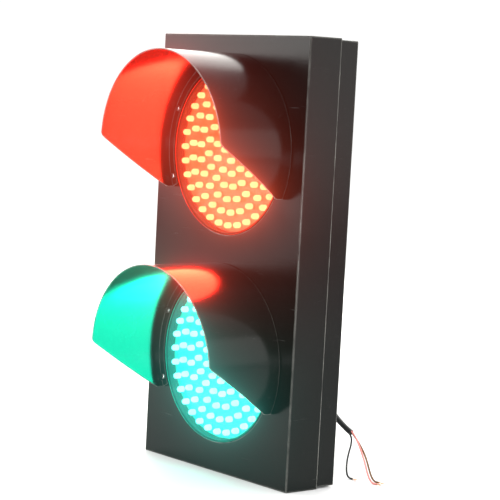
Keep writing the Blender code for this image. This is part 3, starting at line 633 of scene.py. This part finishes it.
def smooth_route(points, spacing):
    """Points at an even spacing along a smooth curve through the given ones."""
    points = [Vector(point) for point in points]
    points = [2 * points[0] - points[1], *points, 2 * points[-1] - points[-2]]
    fine = []
    for a, b, c, d in zip(points, points[1:], points[2:], points[3:]):
        for step in range(24):
            t = step / 24
            double = 2 * b + (c - a) * t + (2 * a - 5 * b + 4 * c - d) * t**2
            fine.append(0.5 * (double + (3 * b - a - 3 * c + d) * t**3))
    fine.append(points[-2])
    lengths = [0.0]
    for first, second in zip(fine, fine[1:]):
        lengths.append(lengths[-1] + (second - first).length)
    count = max(2, round(lengths[-1] / spacing))
    even = []
    index = 0
    for step in range(count + 1):
        wanted = lengths[-1] * step / count
        while index < len(fine) - 2 and lengths[index + 1] < wanted:
            index += 1
        share = (wanted - lengths[index]) / (lengths[index + 1] - lengths[index])
        even.append(fine[index].lerp(fine[index + 1], min(max(share, 0.0), 1.0)))
    return even, lengths[-1]


def new_curve(name, radius, resolution):
    curve = bpy.data.curves.new(name, "CURVE")
    look = {"bevel_depth": radius, "bevel_resolution": resolution, "use_fill_caps": True}
    return configured(curve, dimensions="3D", **look)


def tube_curve(name, route, radius, spacing):
    """A round tube along a smooth route, as a curve, and the route's length."""
    curve = new_curve(name, radius, 5)
    points, length = smooth_route(route, spacing)
    spline = curve.splines.new("POLY")
    spline.points.add(len(points) - 1)
    for point, position in zip(spline.points, points):
        point.co = (*position, 1.0)
    spline.use_smooth = True
    return curve, length


# ---------------- cable


def make_free_cable():
    """The cable outside the housing, and its three cores with their bare ends."""
    curve, length = tube_curve("supply_cable", CABLE_ROUTE, CABLE_RADIUS, 0.003)
    cable = add_piece("supply_cable", curve, "tray", "black_sheath", "cable")
    end = Vector(CABLE_ROUTE[-1])
    for colour, (offset, *rest) in CORE_ROUTES.items():
        start = end + Vector(offset)
        route = (start, *rest)
        curve, length = tube_curve(f"free_core_{colour}", route, CORE_RADIUS, 0.0015)
        core = add_piece(f"free_core_{colour}", curve, "tray", f"{colour}_sheath", f"core_{colour}")
        strands = make_strands(colour, Vector(rest[-2]), Vector(rest[-1]))


def make_strands(colour, before, tip):
    """Fine copper wires that splay a little out of a core's end, along the floor."""
    forward = (tip - before).normalized()
    side = forward.cross(Vector((0, 0, 1))).normalized()
    name = f"strands_{colour}"
    curve = new_curve(name, 0.00016, 2)
    count = 9
    for number in range(count):
        turn = math.tau * number / count
        out = side * math.cos(turn)
        lift = Vector((0, 0, math.sin(turn)))
        spline = curve.splines.new("POLY")
        spline.points.add(6)
        for step, point in enumerate(spline.points):
            share = step / 6
            spread = 0.00055 + 0.0016 * share * share * (0.5 + 0.5 * math.cos(2.4 * number))
            rise = max(0.00055 * math.sin(turn), FLOOR_LIE * -0.5) * (1 - 0.5 * share)
            spot = tip + forward * (0.0085 * share - 0.0006) + out * spread
            spot.z = tip.z + rise + abs(lift.z) * 0.0004 * share
            point.co = (*spot, 1.0)
    mesh = baked(new_object(name, curve))
    return add_piece(name, mesh, "tray", "zinc", material="copper")


def make_inner_wiring():
    """The cable inside the housing, its cores to the terminal block, and a lead to each lamp."""
    curve, _ = tube_curve("jacket", INNER_CABLE_ROUTE, CABLE_RADIUS, 0.003)
    add_piece("jacket", curve, "tray", "black_sheath", "inner_cable")
    low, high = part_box("terminal_block")
    entry_y = high.y - 0.006
    middle = (low.x + high.x) / 2
    for (colour, side), offset in zip((("black", -1), ("brown", 0), ("pink", 1)), POLE_OFFSETS):
        x = middle + offset
        first = JACKET_END.x + side * 0.0026
        route = (
            (first, JACKET_END.y + 0.0002, JACKET_END.z + 0.0012),
            (first + side * 0.001 - 0.001, 0.0200, 0.2050),
            ((first + x) / 2, 0.0252, 0.2180),
            (x, entry_y - 0.0008, 0.2320),
            (x, entry_y, low.z),
            (x, entry_y, low.z + 0.005),
        )
        curve, _ = tube_curve(f"mains_core_{colour}", route, CORE_RADIUS, 0.0015)
        add_piece(f"mains_core_{colour}", curve, "tray", f"{colour}_sheath", f"inner_core_{colour}")
    for (colour, route), offset in zip(LEAD_ROUTES.items(), POLE_OFFSETS):
        x = middle + offset
        ends = ((x, entry_y, high.z + 0.011), (x, entry_y, high.z + 0.003), (x, entry_y, high.z - 0.005))
        name = f"{colour}_lamp_lead"
        curve, _ = tube_curve(name, route + ends, LEAD_RADIUS, 0.002)
        lead = add_piece(name, baked(new_object(name, curve)), None, "black_sheath", f"{colour}_lead")
        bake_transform(lead)


# ---------------- housing


def folded_shell(name, low, high, open_side):
    """Folded sheet steel, open at one side, with round folds."""
    bm = bmesh.new()
    add_box(bm, low, high)
    gone = [face for face in bm.faces if face.normal.y * open_side > 0.9]
    bmesh.ops.delete(bm, geom=gone, context="FACES_ONLY")
    obj = new_object(name, plain_mesh(bm, name))
    configured(obj.modifiers.new("folds", "BEVEL"), width=FOLD, segments=5, limit_method="ANGLE")
    return into_sheet(obj, -1.0)


def make_cover():
    """The front cover: a hole for each lamp, its fixing holes, and countersinks for the lid screws."""
    mesh = folded_shell("cover_shell", COVER_LOW, COVER_HIGH, 1)
    holes = bmesh.new()
    for height in LAMPS.values():
        lamp = lamp_frame(height)
        add_cylinder(holes, LENS_RADIUS + 0.0006, -THROUGH, THROUGH, lamp, 160)
        for angle in FIXING_ANGLES:
            spot = lamp @ Matrix.Rotation(math.radians(angle), 4, "Z")
            spot = spot @ Matrix.Translation((FIXING_RADIUS, 0, 0))
            add_cylinder(holes, SCREW_HOLE_RADIUS, -THROUGH, THROUGH, spot, 24)
    mesh = cut(mesh, holes)
    sinks = bmesh.new()
    screw = middle_of("top_lid_screw")
    reach = LID_SCREW_HEAD + 0.0004
    for height, turn in ((HEIGHT, 0), (0.0, math.pi)):
        spot = Matrix.Translation((screw.x, screw.y, height)) @ Matrix.Rotation(turn, 4, "X")
        add_cylinder(sinks, reach - 0.0015, -0.0016, 0.0003, spot, 48, reach + 0.0004)
    mesh = cut(mesh, sinks)
    add_piece("cover_shell", eased(mesh, 0.00018), "cover", "black_paint", "front_cover")


def on_rear_wall(x, height):
    return Matrix.Translation((x, REAR_Y, height)) @ TO_FRONT


def make_tray():
    """The rear tray: four keyholes, the holes for the gland and the terminal screws, and two lid notches."""
    mesh = folded_shell("tray_shell", TRAY_LOW, TRAY_HIGH, -1)
    # The cutters' depths differ a little, so that no two of their faces lie in one plane.
    holes = bmesh.new()
    slots = bmesh.new()
    more = bmesh.new()
    stagger = 0.0001
    depth = THROUGH - stagger
    half_slot = KEYHOLE_SLOT_RADIUS - 0.00005
    for x, height in KEYHOLES:
        add_cylinder(holes, KEYHOLE_RADIUS, -THROUGH, THROUGH, on_rear_wall(x, height), 48)
        spot = on_rear_wall(x, height + KEYHOLE_RISE)
        add_cylinder(slots, KEYHOLE_SLOT_RADIUS, -THROUGH - stagger, THROUGH + stagger, spot, 32)
        low = (x - half_slot, REAR_Y - depth, height + 0.003)
        add_box(more, low, (x + half_slot, REAR_Y + depth, height + KEYHOLE_RISE + 0.0002))
    gland = middle_of("gland_body")
    add_cylinder(more, GLAND_THREAD_RADIUS, -THROUGH, THROUGH, on_rear_wall(gland.x, gland.z), 48)
    for side in ("left", "right"):
        screw = middle_of(f"terminal_screw_{side}")
        add_cylinder(more, 0.0017, -THROUGH, THROUGH, on_rear_wall(screw.x, screw.z), 24)
    screw = middle_of("top_lid_screw")
    half_notch = 0.0027
    for height in (TRAY_LOW.z, TRAY_HIGH.z):
        low = (screw.x - half_notch, TRAY_LOW.y - 0.002, height - THROUGH)
        add_box(more, low, (screw.x + half_notch, screw.y + half_notch, height + THROUGH))
    mesh = cut(cut(cut(mesh, holes), slots), more)
    add_piece("tray_shell", eased(mesh, 0.00018), "tray", "black_paint", "rear_tray")


def make_door_seal():
    """Soft rubber of D section, round the inside of the cover, where the tray's edge presses."""
    low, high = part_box("door_seal")
    thick = 0.006
    corner = 0.0045
    half = thick / 2
    path = []
    corners = ((high.x, high.z, 0), (low.x, high.z, 90), (low.x, low.z, 180), (high.x, low.z, 270))
    for x, z, start in corners:
        inward = Vector((-math.copysign(corner, x), -math.copysign(corner, z - HEIGHT / 2)))
        for step in range(9):
            angle = math.radians(start + 90 * step / 8)
            out = Vector((math.cos(angle), math.sin(angle)))
            path.append((Vector((x, z)) + inward + out * (corner - half), out))
    section = [(half - 0.0002, -half), (half, -half + 0.0002)]
    section += arc((0, 0), half, 0, 180, 12)
    section += [(-half, -half + 0.0002), (-half + 0.0002, -half)]
    middle_y = (low.y + high.y) / 2
    bm = bmesh.new()
    rows = []
    for spot, out in path:
        row = []
        for across, forward in section:
            flat = spot + out * across
            row.append(bm.verts.new((flat.x, middle_y + forward, flat.y)))
        rows.append(row + row[:1])
    skin(bm, rows + rows[:1])
    add_piece("edge_seal", mesh_of(bm, "edge_seal", 50), "cover", "rubber", "door_seal")


# ---------------- lamps


def visor_reach(height):
    """How far a visor stands out from the panel, at a height above the lamp's axis."""
    if height >= VISOR_RIM_DROP:
        return VISOR_LENGTH + VISOR_LEAN * (height - VISOR_RIM_DROP) / 0.1
    share = (height + VISOR_BASE_DROP) / (VISOR_RIM_DROP + VISOR_BASE_DROP)
    return VISOR_CUT_LENGTH + share * (VISOR_LENGTH - VISOR_CUT_LENGTH)


def make_visor(colour, height):
    """The visor: rolled sheet with a flange turned in at the panel."""
    start = math.asin(-VISOR_BASE_DROP / VISOR_RADIUS)
    end = math.pi - start
    corner = math.asin(VISOR_RIM_DROP / VISOR_RADIUS)
    count = 150
    angles = [start + (end - start) * step / count for step in range(count + 1)]
    # Two more stops, at the rim's lower corners
    angles = sorted(angles + [corner, math.pi - corner])
    bend = 0.0016
    outer = VISOR_RADIUS
    inner_edge = VISOR_FLANGE_INNER
    base = GAP
    bm = bmesh.new()
    rows = []
    for angle in angles:
        direction = Vector((math.cos(angle), math.sin(angle), 0))
        reach = smooth_reach(outer * math.sin(angle))
        line = [(inner_edge, base), (inner_edge + 0.003, base), (inner_edge + 0.0065, base)]
        line += arc((outer - bend, base + bend), bend, -90, 0, 5)
        first = line[-1][1]
        for step in range(1, 25):
            line.append((outer, first + (reach - first) * step / 24))
        rows.append([bm.verts.new(direction * radius + Vector((0, 0, out))) for radius, out in line])
    skin(bm, rows)
    bmesh.ops.transform(bm, matrix=lamp_frame(height), verts=bm.verts)
    name = f"{colour}_hood"
    mesh = into_sheet(new_object(name, plain_mesh(bm, name)), 1.0)
    hood = add_piece(name, eased(mesh, 0.0003, 3, 60), "cover", "black_paint", f"{colour}_visor")
    # The inside is sheltered, so its paint is less worn; its paint is also lighter than the outside's, a
    # painted lit copy that makes the beam-lit inside read brighter
    hood.data.materials.append(MATERIALS["painted_lit_inner_paint"])
    for face in hood.data.polygons:
        outward = Vector((face.center.x, 0, face.center.z - height)).normalized()
        at_panel = face.normal.y < -0.5 and face.center.y > FRONT_Y - 0.005
        if face.normal.dot(outward) < -0.3 or at_panel:
            face.material_index = 1


def smooth_reach(height):
    """visor_reach with its lower corner rounded."""
    blend = VISOR_CORNER
    average = sum(visor_reach(height + blend * step / 8) for step in range(-4, 5)) / 9
    near = max(0.0, 1 - abs(height - VISOR_RIM_DROP) / blend)
    return visor_reach(height) * (1 - near) + average * near


def make_lens(colour, height):
    """The clear dished lens, its flange behind the panel, and the rim round its edge, with a painted glow
    that stands in for the LEDs' light in the lens's edge.
    """
    crown = FRONT_Y - LENS_FRONT
    dish = crown - LENS_EDGE
    round_off = 0.0012
    seat = -SHEET - GAP - GASKET_THICKNESS - GAP
    back = seat - LENS_WALL
    inside = LENS_RADIUS - LENS_WALL
    dish_wall = 0.0021
    profile = []
    for step in range(15):
        share = step / 14
        profile.append(((LENS_RADIUS - round_off) * share, crown - dish * share**2))
    profile += arc((LENS_RADIUS - round_off, LENS_EDGE - round_off), round_off, 90, 0, 4)[1:]
    profile += [(LENS_RADIUS, seat), (LENS_FLANGE_RADIUS, seat), (LENS_FLANGE_RADIUS, back)]
    profile += [(inside, back), (inside, LENS_EDGE - 0.0023)]
    for step in range(10, -1, -1):
        share = step / 11
        profile.append((inside * share, crown - dish_wall - dish * share**2))
    name = f"{colour}_lens_cover"
    mesh = turned_mesh(name, profile, lamp_frame(height), 160)
    lens = add_piece(name, mesh, "cover", f"{colour}_lens", f"{colour}_lens")
    # The rim's glow is painted light, standing in for the LEDs' light in the lens's edge
    lens.data.materials.append(MATERIALS[f"{colour}_lens_rim"])
    lens.data.materials.append(MATERIALS["black_plastic"])
    for face in lens.data.polygons:
        if face.center.y > FRONT_Y + 0.0006:
            face.material_index = 2
        elif abs(face.normal.y) < 0.5:
            face.material_index = 1


def make_gasket(colour, height):
    """The rubber ring between the lens's flange and the panel."""
    round_off = 0.0004
    near = -SHEET - GAP - round_off
    far = -SHEET - GAP - GASKET_THICKNESS + round_off
    inner = GASKET_INNER + round_off
    outer = LENS_FLANGE_RADIUS - round_off
    profile = []
    for spot, start in (((inner, near), 180), ((outer, near), 90), ((outer, far), 0), ((inner, far), -90)):
        profile += arc(spot, round_off, start, start - 90, 3)
    name = f"{colour}_lens_ring"
    mesh = turned_mesh(name, profile, lamp_frame(height), 120)
    add_piece(name, mesh, "cover", "rubber", f"{colour}_lens_gasket")


def make_bowl(colour, height):
    """The black moulded bowl behind the board, with ribs, rings and a collar for the lead on its back."""
    lamp = lamp_frame(height)
    flange = -SHEET - 0.0041
    floor = -BOWL_DEPTH
    wall = 0.002
    ledge = 0.0920
    profile = [(0.0, floor + wall), (0.0948, floor + wall), (0.0948, -0.0132), (ledge, -0.0129)]
    rim = LENS_FLANGE_RADIUS
    back = flange - wall
    profile += [(ledge, -0.0109), (0.0950, -0.0109), (0.0950, flange), (rim - 0.0006, flange)]
    profile += [(rim, flange - 0.0006), (rim, flange - 0.0014), (rim - 0.0006, back)]
    fillet = 0.0012
    profile += arc((BOWL_RADIUS + fillet, back - fillet), fillet, 90, 180, 3)
    corner = 0.004
    profile += arc((BOWL_RADIUS - corner, floor + corner), corner, 0, -90, 6)
    profile.append((0.0, floor))
    name = f"{colour}_bowl"
    mesh = turned_mesh(name, profile, lamp, 128)
    # Raised rings on the back: inner and outer radius, and height
    relief = bmesh.new()
    for inner, outer, rise in ((0.0265, 0.0285, 0.0022), (0.0600, 0.0616, 0.0016), (0.0895, 0.0915, 0.0022)):
        low = floor + 0.0008
        ring = ((inner, low), (inner + 0.0003, floor - rise), (outer - 0.0003, floor - rise), (outer, low))
        turned(relief, ring, lamp, 96)
    mesh = joined(mesh, relief)
    ribs = bmesh.new()
    count = 12
    for number in range(count):
        turn = lamp @ Matrix.Rotation(math.tau * number / count, 4, "Z")
        add_box(ribs, (0.0275, -0.0008, floor - 0.0019), (0.0905, 0.0008, floor + 0.0007), turn)
    mesh = joined(mesh, ribs)
    collar = bmesh.new()
    rise = LEAD_HOLE_RISE if colour == "green" else -LEAD_HOLE_RISE
    spot = lamp @ Matrix.Translation((LEAD_HOLE_X, rise, 0))
    add_cylinder(collar, 0.0062, floor - 0.0021, floor + 0.0006, spot, 40, 0.0070)
    mesh = joined(mesh, collar)
    hole = bmesh.new()
    add_cylinder(hole, 0.0028, floor - 0.005, floor + 0.005, spot, 32)
    mesh = cut(mesh, hole)
    add_piece(name, eased(mesh, 0.0003, 2, 50), "cover", "black_plastic", f"{colour}_lamp_bowl")


def make_leds(colour, height):
    """The LEDs on one board. Each is a flanged bullet of clear plastic, lit from inside."""
    straight = LED_LENGTH - LED_RADIUS
    base_top = straight * 0.2
    flange = LED_FLANGE_RADIUS
    dome_radius = LED_RADIUS * 0.98
    shaft = ((0.0, 0.0002), (flange, 0.0002), (flange, 0.0011), (LED_RADIUS, 0.0014))
    shaft += ((LED_RADIUS, base_top), (0.0, base_top))
    dome = [(0.0, base_top - 0.0002), (dome_radius, base_top - 0.0002), (dome_radius, straight)]
    for step in range(1, 6):
        turn = math.pi / 2 * step / 5
        radius = dome_radius * math.cos(turn) if step < 5 else 0.0
        dome.append((radius, straight + LED_RADIUS * math.sin(turn)))
    body = bmesh.new()
    tips = bmesh.new()
    for ring, count, first in LED_RINGS:
        for number in range(count):
            angle = math.radians(first) + math.tau * number / count
            place = (ring * math.cos(angle), BOARD_FACE_Y, height + ring * math.sin(angle))
            spot = Matrix.Translation(place) @ TO_FRONT
            turned(body, shaft, spot, 14)
            turned(tips, dome, spot, 14)
    for bm, part, finish in ((body, "led_bases", "led_base"), (tips, "led_domes", "led")):
        name = f"{colour}_{part}"
        add_piece(name, mesh_of(bm, name), "cover", f"{colour}_lens", material=f"{colour}_{finish}")


def make_beam(colour, height):
    """The light that the lamp throws into its visor."""
    look = LAMP_LOOKS[colour]
    light = new_light(f"{colour}_beam", shape="DISK", color=look["beam"], energy=look["power"])
    configured(light.data, size=2 * LENS_RADIUS, spread=math.radians(135))
    light.location = (0, LENS_FRONT - 0.0006, height)
    light.rotation_euler = (math.radians(-90), 0, 0)
    light.light_linking.receiver_collection = BEYOND_BEAMS
    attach(light, "cover")


# ---------------- fasteners and gland


def make_fixing_screws(colour, height):
    """Pan-head screws with a washer face and a slot, through the visor's flange."""
    seat = 2 * GAP + SHEET
    crown = [(0.0, seat + 0.0024)]
    crown += arc((0.0021, seat + 0.0010), 0.0014, 90, 0, 6)
    profile = crown + [(0.0035, seat), (0.0020, seat), (0.0020, -0.0125), (0.0016, -0.0130), (0.0, -0.0130)]
    for number, angle in enumerate(FIXING_ANGLES, 1):
        turn = Matrix.Rotation(math.radians(angle), 4, "Z") @ Matrix.Translation((FIXING_RADIUS, 0, 0))
        spot = lamp_frame(height) @ turn
        name = f"{colour}_pan_screw_{number}"
        slot = bmesh.new()
        tilt = spot @ Matrix.Rotation(0.7 * number, 4, "Z")
        add_box(slot, (-0.0004, -0.005, seat + 0.0013), (0.0004, 0.005, seat + 0.005), tilt)
        mesh = cut(turned_mesh(name, profile, spot, 40), slot)
        add_piece(name, mesh, "cover", "steel", f"{colour}_fixing_screw_{number}")


def make_lid_screws():
    """Countersunk hexagon-socket screws in the cover's top and bottom edges."""
    middle = middle_of("top_lid_screw")
    top = -0.0001
    head = LID_SCREW_HEAD
    for edge, height, turn in (("top", HEIGHT, 0), ("bottom", 0.0, math.pi)):
        spot = Matrix.Translation((middle.x, middle.y, height)) @ Matrix.Rotation(turn, 4, "X")
        profile = ((0.0, top), (head - 0.00015, top), (head, top - 0.00015), (0.0020, top - head + 0.0020))
        profile += ((0.0020, -0.0091), (0.0016, -0.0095), (0.0, -0.0095))
        name = f"{edge}_socket_screw"
        socket = bmesh.new()
        add_cylinder(socket, 0.00145, -0.0016, 0.001, spot, 6)
        mesh = cut(turned_mesh(name, profile, spot, 48), socket)
        add_piece(name, mesh, f"{edge}_lid_screw", "steel", f"{edge}_lid_screw")


def make_clamp_screws():
    """The terminal block's slotted clamp screws, down in their wells, in the copper finish."""
    middle = middle_of("terminal_block")
    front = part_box("terminal_block")[0].y
    for number, offset in enumerate(POLE_OFFSETS, 1):
        spot = Matrix.Translation((middle.x + offset, front, middle.z)) @ TO_FRONT
        profile = ((0.0, -0.0012), (0.0019, -0.0012), (0.0022, -0.0015), (0.0022, -0.0037), (0.0, -0.0037))
        slot = bmesh.new()
        tilt = spot @ Matrix.Rotation(0.6 * number, 4, "Z")
        add_box(slot, (-0.0003, -0.003, -0.0021), (0.0003, 0.003, 0.0), tilt)
        name = f"clamp_screw_{number}"
        mesh = cut(turned_mesh(name, profile, spot, 32), slot)
        add_piece(name, mesh, "tray", "zinc", material="copper")


def make_gland_seal():
    """The rubber ring that the dome nut squeezes on to the cable."""
    profile = ((0.0038, 0.0089), (0.0042, 0.0083), (0.0054, 0.0083), (0.0056, 0.0087))
    profile += ((0.0056, 0.0149), (0.0052, 0.0155), (0.0042, 0.0155), (0.0038, 0.0151))
    mesh = turned_mesh("clamp_ring", profile, gland_frame(), 48)
    add_piece("clamp_ring", mesh, "tray", "rubber", "gland_seal")


def make_dome_nut():
    """The gland's dome nut, with a hexagon for a spanner and grip ribs round its barrel."""
    spot = gland_frame()
    thread = GLAND_THREAD_RADIUS
    base, thread_end, seat, top = 0.0056, 0.0144, 0.0158, 0.0195
    profile = [(0.0039, seat), (0.0039, top - 0.0004), (0.0043, top), (0.0058, top)]
    for step in range(1, 9):
        turn = math.pi / 2 * step / 8
        profile.append((0.0058 + 0.0040 * math.sin(turn), 0.0145 + 0.0050 * math.cos(turn)))
    profile += [(0.0100, base), (thread, base), (thread, thread_end), (0.0062, thread_end), (0.0062, seat)]
    ribs = bmesh.new()
    add_cylinder(ribs, 0.01135, 0.0058, 0.0110, spot, 6)
    count = 18
    for number in range(count):
        turn = Matrix.Rotation(math.tau * number / count, 4, "Z") @ Matrix.Translation((0.0098, 0, 0))
        add_cylinder(ribs, 0.00045, 0.0112, 0.0143, spot @ turn, 10)
    mesh = joined(turned_mesh("clamp_nut", profile, spot, 72), ribs)
    bore = bmesh.new()
    add_cylinder(bore, thread, 0.0050, thread_end, spot, 48)
    mesh = eased(cut(mesh, bore), 0.0002)
    add_piece("clamp_nut", mesh, "gland_dome_nut", "black_plastic", "gland_dome_nut")


# ---------------- carried-over CAD nodes


def finish_cad_nodes():
    """Gives each carried-over node its finish and rounded edges."""
    slots = {row["node"]: row["material_slot"] for row in frame["record"]["subparts"]}
    for name, obj in NODES.items():
        if obj.hide_render:
            continue
        obj.data.materials.clear()
        obj.data.materials.append(MATERIALS[slots[name]])
        if name.endswith("led_board"):
            # Its front gets a painted glow that stands in for its own LEDs' light
            obj.data.materials.append(MATERIALS[name.replace("led_board", "board")])
            for face in obj.data.polygons:
                if face.normal.y < -0.5:
                    face.material_index = 1
        obj.modifiers.new("weld", "WELD").merge_threshold = 0.00001
        round_edges(obj, 0.00015, 2, 40)


# ---------------- floor and light


def make_stage():
    """A plain pale floor, which the lamps' beams leave out."""
    bm = bmesh.new()
    bmesh.ops.create_circle(bm, cap_ends=True, radius=12.0, segments=96)
    floor = new_object("floor", plain_mesh(bm, "floor"))
    pale = Paint("pale_floor", (0.85, 0.85, 0.85), 0.6)
    pale.colour(pale.mix(pale.noise(3.0), (0.85, 0.85, 0.85), (0.87, 0.87, 0.865)))
    floor.data.materials.append(pale.material)
    BEYOND_BEAMS.objects.link(floor)
    BEYOND_BEAMS.collection_objects[0].light_linking.link_state = "EXCLUDE"


def new_light(name, **settings):
    """An area light that lights the scene but is not seen itself."""
    light = new_object(name, configured(bpy.data.lights.new(name, "AREA"), **settings))
    light.visible_camera = False
    return light


def soft_box(name, aim, place, size, power, colour=(1.0, 1.0, 1.0)):
    """A rectangular studio light at a place, turned to a point."""
    light = new_light(name, shape="RECTANGLE", energy=power, color=colour, spread=math.pi)
    light.data.size, light.data.size_y = size
    light.location = place
    light.rotation_euler = (Vector(aim) - Vector(place)).to_track_quat("-Z", "Y").to_euler()


def make_lights():
    """A white world, a soft key and plain soft boxes round the head."""
    world = bpy.data.worlds.new("studio")
    bpy.context.scene.world = world
    world.use_nodes = True
    background = world.node_tree.nodes["Background"]
    background.inputs["Color"].default_value = (1, 1, 1, 1)
    background.inputs["Strength"].default_value = 1.04
    sun = configured(bpy.data.lights.new("key", "SUN"), energy=1.5, angle=math.radians(50))
    key = new_object("key", sun)
    key.rotation_euler = (math.radians(38), 0, math.radians(25))
    head = (0.0, 0.0, 0.36)
    soft_box("front_box", head, (-2.0, -1.75, 0.95), (1.5, 1.5), 36.0, (1.0, 1.0, 0.96))
    soft_box("back_box", head, (-1.35, 1.40, 1.35), (2.2, 2.0), 52.0, (1.0, 1.0, 0.95))
    soft_box("side_box", head, (1.9, 1.6, 0.75), (1.0, 1.1), 6.5, (1.0, 0.97, 0.93))
    soft_box("camera_box", (0.0, 0.0, 0.25), (1.75, -1.48, 0.22), (0.22, 0.30), 30.0)


def make_glow():
    """The halo that a camera gives to the lit lamps, added to the picture by the compositor."""
    scene = bpy.context.scene
    scene.use_nodes = True
    tree = scene.node_tree
    tree.nodes.clear()
    add = tree.nodes.new
    link = tree.links.new
    picture = add("CompositorNodeRLayers").outputs["Image"]
    # Only coloured light spreads, so the white floor makes no haze. In HSV, Green is the saturation.
    parts = configured(add("CompositorNodeSeparateColor"), mode="HSV")
    coloured = configured(add("CompositorNodeMath"), operation="GREATER_THAN")
    coloured.inputs[1].default_value = 0.5
    lamps = configured(add("CompositorNodeMixRGB"), blend_type="MULTIPLY")
    glare = configured(add("CompositorNodeGlare"), glare_type="BLOOM")
    bloom = {"Threshold": 1.5, "Clamp": True, "Maximum": 2.4, "Strength": 0.85, "Size": 0.3}
    for name, value in bloom.items():
        glare.inputs[name].default_value = value
    total = configured(add("CompositorNodeMixRGB"), blend_type="ADD")
    output = add("CompositorNodeComposite")
    link(picture, parts.inputs["Image"])
    link(parts.outputs["Green"], coloured.inputs[0])
    link(picture, lamps.inputs[1])
    link(coloured.outputs[0], lamps.inputs[2])
    link(lamps.outputs[0], glare.inputs["Image"])
    link(picture, total.inputs[1])
    link(glare.outputs["Glare"], total.inputs[2])
    link(total.outputs[0], output.inputs["Image"])


make_camera()
bpy.context.scene.view_settings.view_transform = "Standard"
MATERIALS = make_materials()
# What the lamps' beams leave out: only the floor, which would take their colours
BEYOND_BEAMS = bpy.data.collections.new("beyond_beams")
make_free_cable()
make_inner_wiring()
make_cover()
make_tray()
for lamp in LAMPS.items():
    for make in (make_visor, make_lens, make_leds, make_beam, make_fixing_screws, make_gasket, make_bowl):
        make(*lamp)
make_door_seal()
make_lid_screws()
make_clamp_screws()
make_gland_seal()
make_dome_nut()
finish_cad_nodes()
make_stage()
make_lights()
make_glow()
